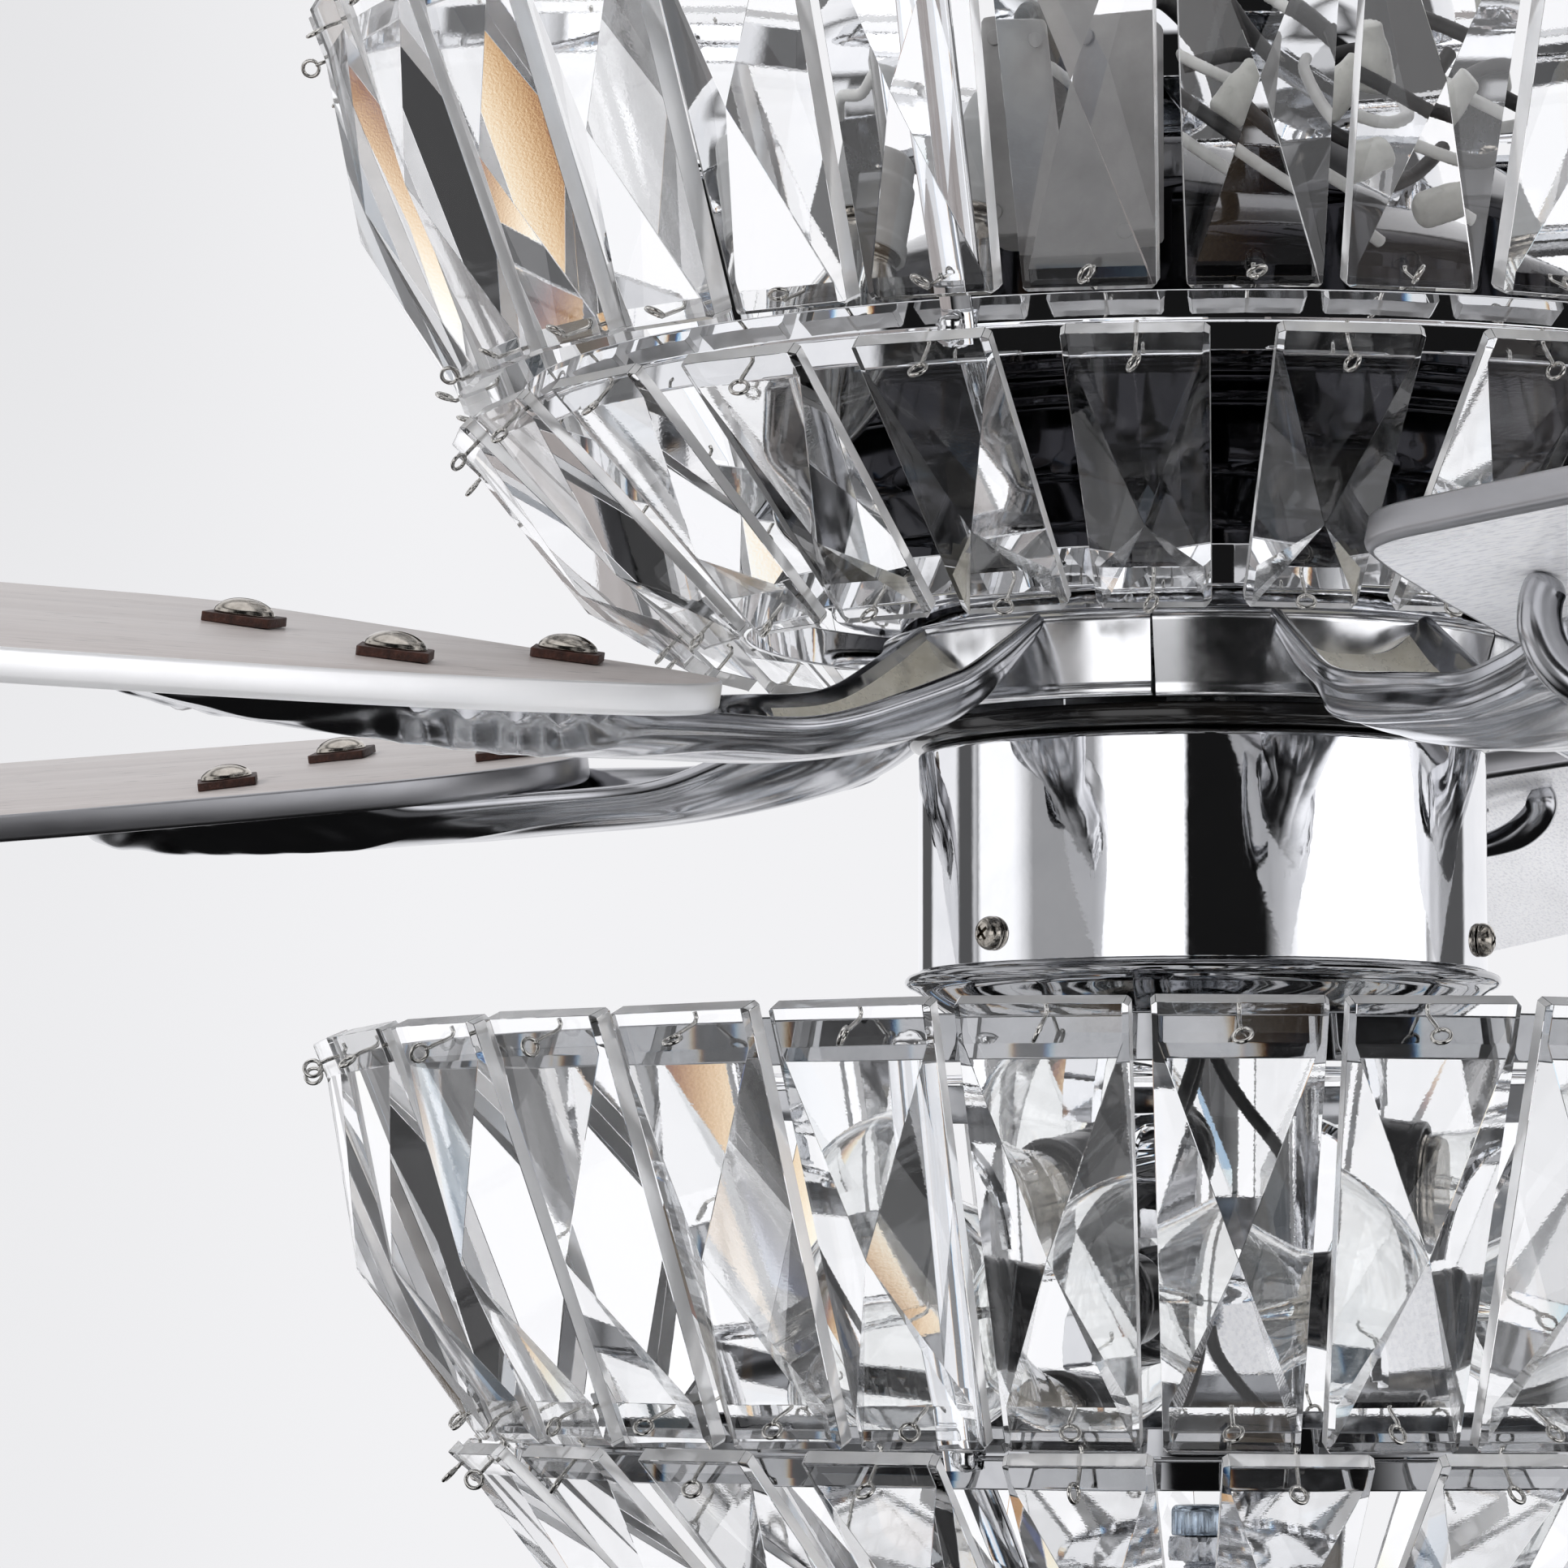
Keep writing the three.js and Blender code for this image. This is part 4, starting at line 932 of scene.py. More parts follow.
def hexnut(h0, h1, flat, bore, turn=0.0, centre=(0, 0)):
    """Hexagon nut with chamfered corners."""
    m = Mesher()
    seg = 60
    rows = [(h0, 1.2, 0), (h0, 0, 0.0), (h0 + 1.0, 0, 1), (h1 - 1.0, 0, 1), (h1, 0, 0.0), (h1, 1.2, 0)]
    verts, faces = [], []
    ap = flat / 2
    for (z, inn, full) in rows:
        for k in range(seg):
            a = 2 * pi * k / seg
            q = ((a - radians(turn)) % (pi / 3)) - pi / 6
            rh = ap / cos(q)
            r = rh if full else min(rh, ap * 1.02)
            if inn:
                r = bore
            verts.append((centre[0] + r * cos(a), centre[1] + r * sin(a), z - CEIL))
    for j in range(len(rows) - 1):
        for k in range(seg):
            a, b = j * seg + k, j * seg + (k + 1) % seg
            faces.append([a, b, b + seg, a + seg])
    for k in range(seg):
        k2 = (k + 1) % seg
        faces.append([k, (len(rows) - 1) * seg + k, (len(rows) - 1) * seg + k2, k2])
    m.add(verts, faces)
    return m


threaded(4.9, 41.2, 80.8).make("lamp_pipe", [ZINC], body=HB, slot="zinc", replaces=["light_pipe"], sharp=60, recalc=True)
hexnut(54, 60, 15.9, 4.95, 12).make("lamp_pipe_nut", [ZINC], body=HB, slot="zinc", replaces=["pipe_nut"], sharp=25, recalc=True)
m = Mesher()
m.lathe([(x, y - CEIL) for x, y in rounded([[5.0, 53.7], [9.5, 53.7], [9.5, 54.0], [5.0, 54.0]], 0.1)], 64)
m.make("lamp_pipe_washer", [ZINC], body=HB, slot="zinc")
threaded(4.9, -116, -42).make("bottom_pipe", [ZINC], body=HB, slot="zinc", replaces=["finial_pipe"], sharp=60, recalc=True)
hexnut(-50, -44.6, 15.9, 4.95, 25).make("bottom_pipe_nut", [ZINC], body=HB, slot="zinc", replaces=["finial_nut"], sharp=25, recalc=True)
BLUE = metal("blue_zinc", (0.34, 0.42, 0.52), (0.58, 0.66, 0.74), 0.12, 0.25, 200, bump=0.08, bscale=500)
m = Mesher()
m.lathe([(x, y - CEIL) for x, y in rounded([[5.0, -44.3], [7.6, -44.3], [7.6, -38.4], [6.8, -37.4], [0, -37.2], [0, -41.6], [5.0, -41.6]],
                                            [0.2, 0.4, 0.5, 0.8, 0, 0, 0.2], closed=True)], 64)
m.make("bottom_pipe_cap", [BLUE], body=HB, slot="zinc", recalc=True)

# ------------------------------------------------------------------ lamps of the lower bowl
LAMP_AZ = [-42, 78, 198]
m = Mesher()
m.lathe([(x, y - CEIL) for x, y in rounded([[5.2, 50.2], [15, 50.2], [15, 51.8], [5.2, 51.8]], 0.3)], 64)
for a in LAMP_AZ:
    # stamped arm with stiffening flanges, curving from the ring down to its holder
    path = [(13, 51.0), (20, 51.2), (27, 50.4), (33, 47.6), (37.2, 43.2), (40, 37.5), (41.2, 31), (41.4, 24.5)]
    rings = []
    for j, (r, h) in enumerate(path):
        a0, b0 = path[max(0, j - 1)], path[min(len(path) - 1, j + 1)]
        t = Vector((b0[0] - a0[0], b0[1] - a0[1])).normalized()
        nn = Vector((-t.y, t.x))
        wd = 6.4 - 0.22 * j
        sec = [(-wd, -1.8), (-wd + 0.9, -0.2), (wd - 0.9, -0.2), (wd, -1.8), (wd + 0.5, -1.2), (wd - 0.4, 0.9), (-wd + 0.4, 0.9), (-wd - 0.5, -1.2)]
        rings.append([pol(r + nn.x * k, a, h + nn.y * k) + et_(a) * t_ for t_, k in sec])
    m.loft(rings)
arms = m.make("lamp_arms", [CHROME], body=HB, slot="chrome", replaces=["lamp_cluster"], recalc=True, sharp=30, bevel=0.15, segs=1)
for k, a in enumerate(LAMP_AZ):
    d = er_(a) * cos(radians(4)) - Vector((0, 0, 1)) * sin(radians(4))
    s0 = pol(21, a, 10)
    sm = along(s0, d)
    m = Mesher()
    m.lathe(rounded([[0, 0], [8, 0], [10.5, 2], [11.5, 9], [13.2, 10.5], [13.6, 12], [13.6, 13.2], [12.9, 14], [13.6, 14.8], [13.6, 16.4], [12.9, 17.2],
                     [13.6, 18], [13.6, 27], [14, 28], [14, 30], [12.6, 30], [12.6, 20], [0, 20]],
                    [0, 1, 1.5, 2, 0.8, 0.4, 0.4, 0.4, 0.4, 0.4, 0.4, 0.4, 0.6, 0.4, 0.4, 0.4, 0.4, 0], closed=False), 72, closed=False)
    m.v = [sm @ p for p in m.v]
    m.make("lamp_holder_%d" % (k + 1), [BLACK], body=HB, slot="black_plastic", at=sm, recalc=True, sharp=40)


def bulb(name, outline, foot, tip, sm, replaces, stem, body=HB, seg=72):
    """Clear bulb as a thin blown shell, with its metal cap, glass stem and filament."""
    wall = 0.7
    out = rounded(outline, 9, 6, closed=False)
    inner = []
    for i, (r, h) in enumerate(out):
        a, b = out[max(0, i - 1)], out[min(len(out) - 1, i + 1)]
        t = Vector((b[0] - a[0], b[1] - a[1]))
        t = t.normalized() if t.length > 1e-9 else Vector((1, 0))
        nn = Vector((-t.y, t.x))
        inner.append((max(0.0, r + nn.x * wall), h + nn.y * wall))
    inner[-1] = (0.0, inner[-1][1])
    inner[0] = (max(0.2, inner[0][0]), out[0][1])
    m = Mesher()
    prof = out + inner[::-1]
    m.lathe(prof, seg)
    m.v = [sm @ p for p in m.v]
    ob = m.make(name, [BULB], body=body, slot="bulb_glass", replaces=[replaces], at=sm, recalc=True, sharp=60)
    m = Mesher()
    fr = foot
    # screw cap with rolled thread
    rows, sg = 44, 40
    verts, faces = [], []
    for j in range(rows + 1):
        z = -9 + 13.0 * j / rows
        for k in range(sg):
            w = 2 * pi * k / sg
            r = fr - 0.45 * (0.5 + 0.5 * cos(2 * pi * (z / 3.2 - k / sg)))
            if j == 0:
                r = fr * 0.72
            verts.append((r * cos(w), r * sin(w), z))
    for j in range(rows):
        for k in range(sg):
            a, b = j * sg + k, j * sg + (k + 1) % sg
            faces.append([a, b, b + sg, a + sg])
    faces.append([k for k in range(sg)][::-1])
    faces.append([rows * sg + k for k in range(sg)])
    m.add(verts, faces)
    m.v = [sm @ p for p in m.v]
    m.make(name + "_cap", [NICKEL], body=body, slot="nickel", at=sm, recalc=True, sharp=60)
    m = Mesher()
    m.lathe(rounded([[0, 3], [3.4, 3], [2.4, stem * 0.5], [1.2, stem * 0.9], [1.6, stem], [0, stem + 0.6]], 1, 3, closed=False), 24, closed=False)
    m.v = [sm @ p for p in m.v]
    m.make(name + "_stem", [BULB], body=body, slot="bulb_glass", at=sm, recalc=True)
    m = Mesher()
    for sgn in (-1, 1):
        m.tube([Vector((sgn * 1.0, 0, stem * 0.8)), Vector((sgn * 2.2, 0, stem + 2)), Vector((sgn * 5.2, 0, tip))], 0.22, 6)
    coil = []
    for q in range(181):
        t = q / 180
        x = -5.2 + 10.4 * t
        coil.append(Vector((x, 0.55 * cos(t * 2 * pi * 22), tip + 0.9 * sin(t * pi) + 0.55 * sin(t * 2 * pi * 22))))
    m.tube(coil, 0.12, 5)
    m.v = [sm @ p for p in m.v]
    m.make(name + "_filament", [STEEL], body=body, slot="steel", at=sm, recalc=True)
    return ob


for k, a in enumerate(LAMP_AZ):
    d = er_(a) * cos(radians(4)) - Vector((0, 0, 1)) * sin(radians(4))
    sm = along(pol(21, a, 10) + d * 30.3, d)
    bulb("globe_bulb_%d" % (k + 1), [[11.6, 0.4], [12.4, 3], [13.6, 10], [20, 22], [26.2, 32], [28.3, 43], [26.4, 54], [20, 64], [11, 71], [0, 73]], 11.4, 42, sm,
         "lower_bulb_%d" % (k + 1), 24)

# ------------------------------------------------------------------ lamps and receiver of the upper bowl
UPPER_LAMP_AZ = [-36, 84, 204]
m = Mesher()
m.lathe([(x, y - CEIL) for x, y in rounded([[17.3, 272.4], [34, 272.4], [34, 274.2], [17.3, 274.2]], 0.4)], 64)
for a in UPPER_LAMP_AZ:
    rings = []
    path = [(30, 273.3), (60, 273.3), (95, 273.4), (106, 272.9), (114, 271.2), (120.5, 268.4)]
    for j, (r, h) in enumerate(path):
        a0, b0 = path[max(0, j - 1)], path[min(len(path) - 1, j + 1)]
        t = Vector((b0[0] - a0[0], b0[1] - a0[1])).normalized()
        nn = Vector((-t.y, t.x))
        sec = [(-6, -1.6), (-5.2, -0.7), (5.2, -0.7), (6, -1.6), (6.5, -1.1), (5.7, 0.6), (-5.7, 0.6), (-6.5, -1.1)]
        rings.append([pol(r + nn.x * k, a, h + nn.y * k) + et_(a) * t_ for t_, k in sec])
    m.loft(rings)
m.make("upper_lamp_arms", [ZINC], body=HB, slot="zinc", replaces=["upper_lamp_plate"], recalc=True, sharp=30)
for k, a in enumerate(UPPER_LAMP_AZ):
    d = er_(a) * sin(radians(14)) - Vector((0, 0, 1)) * cos(radians(14))
    sm = along(pol(117, a, 270), d, er_(a))
    m = Mesher()
    m.lathe(rounded([[0, 0], [6, 0], [7.4, 1.6], [7.6, 7], [8.3, 8.2], [8.3, 22], [8.7, 23], [8.7, 26], [7.6, 26], [7.6, 14], [0, 14]],
                    [0, 0.8, 1, 1, 0.5, 0.5, 0.3, 0.3, 0.3, 0.3, 0], closed=False), 56, closed=False)
    m.v = [sm @ p for p in m.v]
    m.make("candle_holder_%d" % (k + 1), [WHITE], body=HB, slot="white_plastic", at=sm, recalc=True)
    sm2 = along(pol(117, a, 270) + d * 26.3, d, er_(a))
    bulb("candle_bulb_%d" % (k + 1), [[6.4, 0.4], [7.2, 3], [10.5, 10], [14.4, 20], [15, 27], [12.6, 37], [7.4, 47], [2.6, 54], [0, 57]], 6.6, 30, sm2,
         "upper_bulb_%d" % (k + 1), 18, seg=56)

# receiver box: two moulded halves, a seam and a bare face
FRAME_AZ = [-13, 107, 227]
bm_ = axes_matrix(et_(-13), -er_(-13), Vector((0, 0, 1)), pol(121, -13, 260.5))
m = Mesher()


def soft_box(m, sx, sy, z0, z1, rad, mat=0, matrix=None):
    out = rounded([[-sx / 2, -sy / 2], [sx / 2, -sy / 2], [sx / 2, sy / 2], [-sx / 2, sy / 2]], rad, 5)
    lev = [(1.2, z0), (0.35, z0 + 0.3), (0, z0 + 1.1), (0, z1 - 1.1), (0.35, z1 - 0.3), (1.2, z1)]
    rings = [[Vector((x * (1 - 2 * o / sx), y * (1 - 2 * o / sy), z)) for x, y in out] for o, z in lev]
    m.loft(rings, mat, matrix=matrix)


soft_box(m, 36, 22, -24, 24, 2.5)
soft_box(m, 36.5, 1.0, -22.5, 22.5, 0.4)
for zz in (-19, 19):
    for xx in (-14.5, 14.5):
        m.lathe(rounded([[0, 0], [1.7, 0], [1.7, 0.6], [0, 0.9]], 0.2, closed=False), 20, closed=False,
                matrix=Matrix.Translation((xx, -11.0, zz)) @ Matrix.Rotation(radians(90), 4, "X"))
m.v = [bm_ @ p for p in m.v]
m.make("receiver_case", [BOX], body=HB, slot="white_plastic", replaces=["receiver_box"], at=bm_, recalc=True, sharp=35)


lead = [pol(117, -6.6, 285.4), pol(116.4, -6.4, 288.4), pol(108, -4, 291), pol(92, 1, 285), pol(72, 6, 280.8), pol(56, 5, 280.6), pol(42, 3, 282.6),
        pol(28, 1, 287), pol(21, 0, 294), pol(20, 0, 306)]
m = Mesher()
m.tube(curve_pts(lead, 8), 2.2, 14)
m.make("receiver_cable", [SLEEVE], body=HB, slot="black_plastic", replaces=["receiver_lead"], recalc=True)


def wire(name, pts, r, mat, slot):
    m = Mesher()
    m.tube(curve_pts([Vector(p) for p in pts], 8), r, 12)
    return m.make(name, [mat], body=HB, slot=slot, recalc=True)


# sleeved wires from the lamp pipe to the lower holders
for k, a in enumerate(LAMP_AZ):
    wire("holder_wire_%d" % (k + 1), [pol(1.6, a, 52), pol(1.7, a, 42), pol(3.4, a, 34), pol(8.6, a + 4, 25.5), pol(15.5, a + 8, 17), pol(20, a + 3, 11.5), pol(24, a, 10.2)], 1.5, SLEEVE,
         "black_plastic")
# sleeved lamp wires round the motor and their crimp caps
wire("lamp_wire_1", [pol(112, 2, 284.6), pol(118, 6, 272), pol(123, 11, 262), pol(119, 18, 257), pol(112, 24, 262), pol(106, 30, 272)], 1.7, SLEEVE, "black_plastic")
wire("lamp_wire_2", [pol(106, 8, 283), pol(113, 13, 276), pol(121, 20, 268), pol(125, 28, 262), pol(120, 36, 265), pol(110, 44, 272)], 1.4, WIRE_WHITE, "white_plastic")
wire("lamp_wire_3", [pol(104, -2, 280), pol(110, -1, 276), pol(118, 3, 266), pol(124, 8, 256), pol(125, 14, 248), pol(119, 19, 244)], 1.4, WIRE_WHITE, "white_plastic")
wire("lamp_wire_4", [pol(100, 14, 279), pol(108, 20, 281), pol(117, 27, 276), pol(124, 34, 268), pol(127, 40, 262), pol(124, 46, 259)], 1.7, SLEEVE, "black_plastic")
wire("lamp_wire_5", [pol(90, -30, 277), pol(100, -28, 279), pol(110, -24, 277), pol(118, -21, 280), pol(112, -17, 286)], 1.4, WIRE_WHITE, "white_plastic")
for k, (r, a, h, tilt) in enumerate([(121, 12, 263, 40), (118, 33, 270, -20), (123, 22, 250, 70)]):
    cm = along(pol(r, a, h), (er_(a) * 0.2 + Vector((0, 0, 1)) * cos(radians(tilt)) + et_(a) * sin(radians(tilt))))
    m = Mesher()
    m.lathe(rounded([[0, 0], [2.2, 0], [4.3, 1.4], [4.3, 9], [3.6, 12.2], [3.6, 15.0], [2.6, 15.6], [0, 15.6]], [0, 0.6, 1.2, 0.8, 0.6, 0.5, 0.5, 0], closed=False), 28, closed=False)
    m.v = [cm @ p for p in m.v]
    m.make("crimp_cap_%d" % (k + 1), [CRIMP], body=HB, slot="white_plastic", at=cm, recalc=True)

# ------------------------------------------------------------------ crystals
LONG = dict(n=32, a=(200, 301), b=(168, 220.7), over=(7.5, 2.2), w=(35.7, 27.9), at=0.475, back=-1.2, front=4.4, apex=13.3, first=14.9, band=(11.0, 5.0), chamfer=0.9,
            lip=0.9)
SHORT = dict(n=24, a=(171.5, 207), b=(121.5, 160), over=(2.1, 3.6), w=(31.2, 24.5), at=0.38, back=-2.1, front=0.6, apex=8.0, first=10.4, band=(6.6, 11.4), chamfer=1.2,
             lip=0)
BASE = dict(n=16, a=(106, -82), b=(42, -97), over=(3, 3), w=(32, 12), at=0.5, back=-3, front=2.0, apex=7.5, first=10, band=(5, 5), chamfer=1.0, lip=0)


def tier_axes(t, drop):
    A = Vector((t["a"][0], t["a"][1] - drop)); B = Vector((t["b"][0], t["b"][1] - drop))
    u = (A - B).normalized()
    return A, B, u, Vector((u.y, -u.x)), (A - B).length


def crystal_mesh(name, t):
    """One crystal: flat back, straight sides, a flat band at each end where the pin sits, and four facets that rise to
    the apex.
    Local axes: X across, Y out of the bowl, Z up along the crystal from its lower edge."""
    A, B, u, n, ln = tier_axes(t, 0)
    S = ln + t["over"][0] + t["over"][1]
    w0, w1 = t["w"][1] / 2, t["w"][0] / 2
    zb, hs, ha = t["back"], t["front"], t["apex"]
    sa = S * t["at"]
    wid = lambda s: w0 + (w1 - w0) * s / S
    # band stands a little over the side edges; the side facets cut its ends aslant
    slope = (ha - hs) / wid(sa)
    hb = hs + (0.8 if t["n"] == 24 else 1.0)
    dl = (hb - hs) / slope
    bt, bb = S - t["band"][0], t["band"][1]
    v = []

    def V(x, y, z):
        v.append((x, y, z))
        return len(v) - 1
    L = {}
    for sg in (-1, 1):
        L[sg] = dict(
            bb=V(sg * w0, zb, 0), bt=V(sg * w1, zb, S), fb=V(sg * w0, hs, 0), ft=V(sg * w1, hs, S),
            to=V(sg * (w1 - dl), hb, S), ti=V(sg * (wid(bt) - dl), hb, bt), bi=V(sg * (wid(bb) - dl), hb, bb), bo=V(sg * (w0 - dl), hb, 0))
    ap = V(0, ha, sa)
    a, b = L[-1], L[1]
    f = [
        [a["bb"], b["bb"], b["bt"], a["bt"]],
        [a["bb"], a["bt"], a["ft"], a["fb"]],
        [b["bb"], b["fb"], b["ft"], b["bt"]],
        [a["bt"], b["bt"], b["ft"], b["to"], a["to"], a["ft"]],
        [a["bb"], a["fb"], a["bo"], b["bo"], b["fb"], b["bb"]],
        [a["to"], b["to"], b["ti"], a["ti"]],
        [a["bi"], b["bi"], b["bo"], a["bo"]],
        [a["ti"], b["ti"], ap],
        [b["bi"], a["bi"], ap],
        [a["fb"], a["ft"], a["to"], a["ti"], ap],
        [a["fb"], ap, a["bi"], a["bo"]],
        [b["fb"], b["bo"], b["bi"], ap],
        [b["fb"], ap, b["ti"], b["to"], b["ft"]],
    ]
    bm = bmesh.new()
    vs = [bm.verts.new(Vector(p) * MM) for p in v]
    for q in f:
        bm.faces.new([vs[k] for k in q])
    bmesh.ops.recalc_face_normals(bm, faces=bm.faces)
    # corners of the outline taken off
    c = t["chamfer"]
    for sg in (-1, 1):
        for (x, z, dz, cc) in ((w1, S, 1, c), (w0, 0, -1, min(c, 1.2))):
            nrm = Vector((sg, 0, dz)).normalized()
            co = Vector((sg * (x - cc), 0, z)) * MM
            geom = bm.verts[:] + bm.edges[:] + bm.faces[:]
            r = bmesh.ops.bisect_plane(bm, geom=geom, plane_co=co, plane_no=nrm, clear_outer=True, dist=1e-8)
            edges = [e for e in r["geom_cut"] if isinstance(e, bmesh.types.BMEdge)]
            bmesh.ops.edgenet_fill(bm, edges=edges)
    if t["lip"]:
        # the lower edge of the band is ground back
        r = bmesh.ops.bisect_plane(bm, geom=bm.verts[:] + bm.edges[:] + bm.faces[:], plane_co=Vector((0, hb, t["lip"])) * MM,
                                   plane_no=Vector((0, t["lip"], -1.1)).normalized(), clear_outer=True, dist=1e-8)
        bmesh.ops.edgenet_fill(bm, edges=[e for e in r["geom_cut"] if isinstance(e, bmesh.types.BMEdge)])
    bmesh.ops.recalc_face_normals(bm, faces=bm.faces)
    bm.normal_update()
    for q in bm.faces:
        q.material_index = 1 if abs(q.normal.y) < 0.25 else 0
    edges = [e for e in bm.edges if len(e.link_faces) == 2 and e.calc_face_angle(0) > radians(8)]
    bmesh.ops.bevel(bm, geom=edges, material=0, offset=0.00009, segments=1, profile=0.5, affect="EDGES", clamp_overlap=True)
    me = bpy.data.meshes.new(name)
    bm.to_mesh(me)
    bm.free()
    me.materials.append(CRYSTAL)
    me.materials.append(FROST)
    return me


def pin_mesh(name, reach, seed, aim):
    """Nickel eye pin: shank through the hole with a bent tail inside, and an open eye in front.
    Local axes as the crystal's, with the hole's mouth at the origin."""
    q = random.Random(seed)
    m = Mesher()
    R = 1.9
    turn = radians(q.uniform(-75, 75))
    side = Vector((cos(turn), 0, sin(turn)))
    out = Vector(aim) + Vector((q.uniform(-0.26, 0.26), 0, q.uniform(-0.16, 0.16)))
    out.normalize()
    side = (side - out * side.dot(out)).normalized()
    neck = Vector((0, 1.1, 0)) + out * 0.5
    c = neck + out * (R + 0.35)
    pts = [Vector((0, -reach - 2.0, 2.2)), Vector((0, -reach - 2.1, 0.9)), Vector((0, -reach - 1.3, 0.1)), Vector((0, -reach, 0)), Vector((0, -reach * 0.5, 0)),
           Vector((0, 0, 0)), Vector((0, 0.8, -0.05)), neck]
    # start the eye at the neck side
    pts2 = pts + [c + out * (-R * cos(radians(t))) + side * (R * sin(radians(t))) for t in range(8, 352, 14)]
    m.tube(pts2, 0.47, 8)
    # small solder bead where the eye closes
    m.lathe([(0, -0.62), (0.45, -0.45), (0.66, 0), (0.45, 0.45), (0, 0.62)], 12, closed=False, matrix=Matrix.Translation(c - out * R))
    me = bpy.data.meshes.new(name)
    me.from_pydata([tuple(p * MM) for p in m.v], [], m.f)
    me.polygons.foreach_set("use_smooth", [True] * len(me.polygons))
    me.materials.append(WIRE)
    return me


def make_tier(tag, t, drop, first, node_name, parent_of, aim_t, aim_b, hole):
    me = crystal_mesh("crystal_" + tag, t)
    A, B, u, n, ln = tier_axes(t, drop)
    S = ln + t["over"][0] + t["over"][1]
    hb = t["front"] + (0.8 if t["n"] == 24 else 1.0)
    reach = hb - t["back"] + 1.5
    pins = {"t": [pin_mesh("pin_%s_t%d" % (tag, k), reach, 31 * k + len(tag), aim_t) for k in range(6)],
            "b": [pin_mesh("pin_%s_b%d" % (tag, k), reach, 37 * k + len(tag), aim_b) for k in range(6)]}
    for i in range(t["n"]):
        az = first + 360.0 / t["n"] * i
        e, tt = er_(az), et_(az)
        Y = e * n.x + Vector((0, 0, 1)) * n.y
        Z = e * u.x + Vector((0, 0, 1)) * u.y
        o = pol(B.x - u.x * t["over"][1], az, B.y - u.y * t["over"][1])
        # real crystals hang a little loose
        j = Matrix.Rotation(radians(rnd.uniform(-0.7, 0.7)), 4, "Y") @ Matrix.Rotation(radians(rnd.uniform(-0.5, 0.5)), 4, "Z")
        M = axes_matrix(-tt, Y, Z, o)
        mid = Matrix.Translation((0, 0, S / 2))
        Mj = M @ mid @ j @ mid.inverted()
        ob = instance("crystal_%s_%02d" % (tag, i + 1), me, Mj, parent_of)
        if i == 0:
            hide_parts(node_name)
        for q, s in (("t", S - hole[0]), ("b", hole[1])):
            instance("pin_%s_%02d%s" % (tag, i + 1, q), pins[q][rnd.randrange(6)], Mj @ Matrix.Translation((0, hb, s)), parent_of)


# ------------------------------------------------------------------ bowl frames
HOOPS = dict(top=(190.5, 293, 303), mid=(157.4, 206, 219), low=(105.6, 163, 172))
RIB_AZ = [-18.5, 101.5, 221.5]


def hoop(name, r, h0, h1, n_side, first, **kw):
    """Mirror-polished strip bent to a hoop, with softened edges."""
    m = Mesher()
    prof = rounded([[r, h0 - CEIL], [r + 1.3, h0 - CEIL], [r + 1.3, h1 - CEIL], [r, h1 - CEIL]], 0.45, 3)
    if r == HOOPS["mid"][0]:
        hm = (h0 + h1) / 2 - CEIL
        prof = rounded([[r, h0 - CEIL], [r + 1.45, h0 - CEIL], [r + 1.22, hm - 0.45], [r + 0.85, hm], [r + 1.12, hm + 0.45], [r + 0.85, h1 - CEIL], [r, h1 - CEIL]],
                       [0.4, 0.4, 0.2, 0.2, 0.2, 0.4, 0.4], 3)
    m.lathe(prof, 256)
    # the lower bowl's top and middle hoops take the darker grey chrome: painted shade on the same polished strips
    return m.make(name, [GREY_CHROME if name in ("lower_hoop_top", "lower_hoop_mid") else CHROME], body=HB, slot="chrome", recalc=True, sharp=50, **kw)


def strap(m, az, p, q, wide=7.0, thick=1.5, mat=0):
    d = (Vector(q) - Vector(p)).normalized()
    nn = Vector((d.y, -d.x))
    rings = []
    for j in range(7):
        t = j / 6
        c = Vector(p).lerp(Vector(q), t)
        sec = rounded([[-wide / 2, -thick / 2], [wide / 2, -thick / 2], [wide / 2, thick / 2], [-wide / 2, thick / 2]], 0.4, 2)
        rings.append([pol(c.x + nn.x * k, az, c.y + nn.y * k) + et_(az) * s for s, k in sec])
    m.loft(rings, mat)


def blob(m, c, r, mat, seed):
    """A lump of solder."""
    q = random.Random(seed)
    ph = [q.uniform(0, 6.28) for _ in range(4)]
    rows, sg = 12, 18
    verts, faces = [], []
    for j in range(rows + 1):
        a = pi * j / rows
        for k in range(sg):
            b = 2 * pi * k / sg
            d = Vector((sin(a) * cos(b), sin(a) * sin(b), cos(a)))
            w = 1 + 0.16 * sin(3 * d.x + ph[0]) + 0.14 * sin(4 * d.y + ph[1]) + 0.12 * sin(5 * d.z + ph[2]) + 0.06 * sin(9 * d.x + 7 * d.z + ph[3])
            verts.append(Vector(c) + Vector((d.x * r[0], d.y * r[1], d.z * r[2])) * w)
    for j in range(rows):
        for k in range(sg):
            a, b = j * sg + k, j * sg + (k + 1) % sg
            faces.append([a, a + sg, b + sg, b])
    m.add(verts, faces, mat)


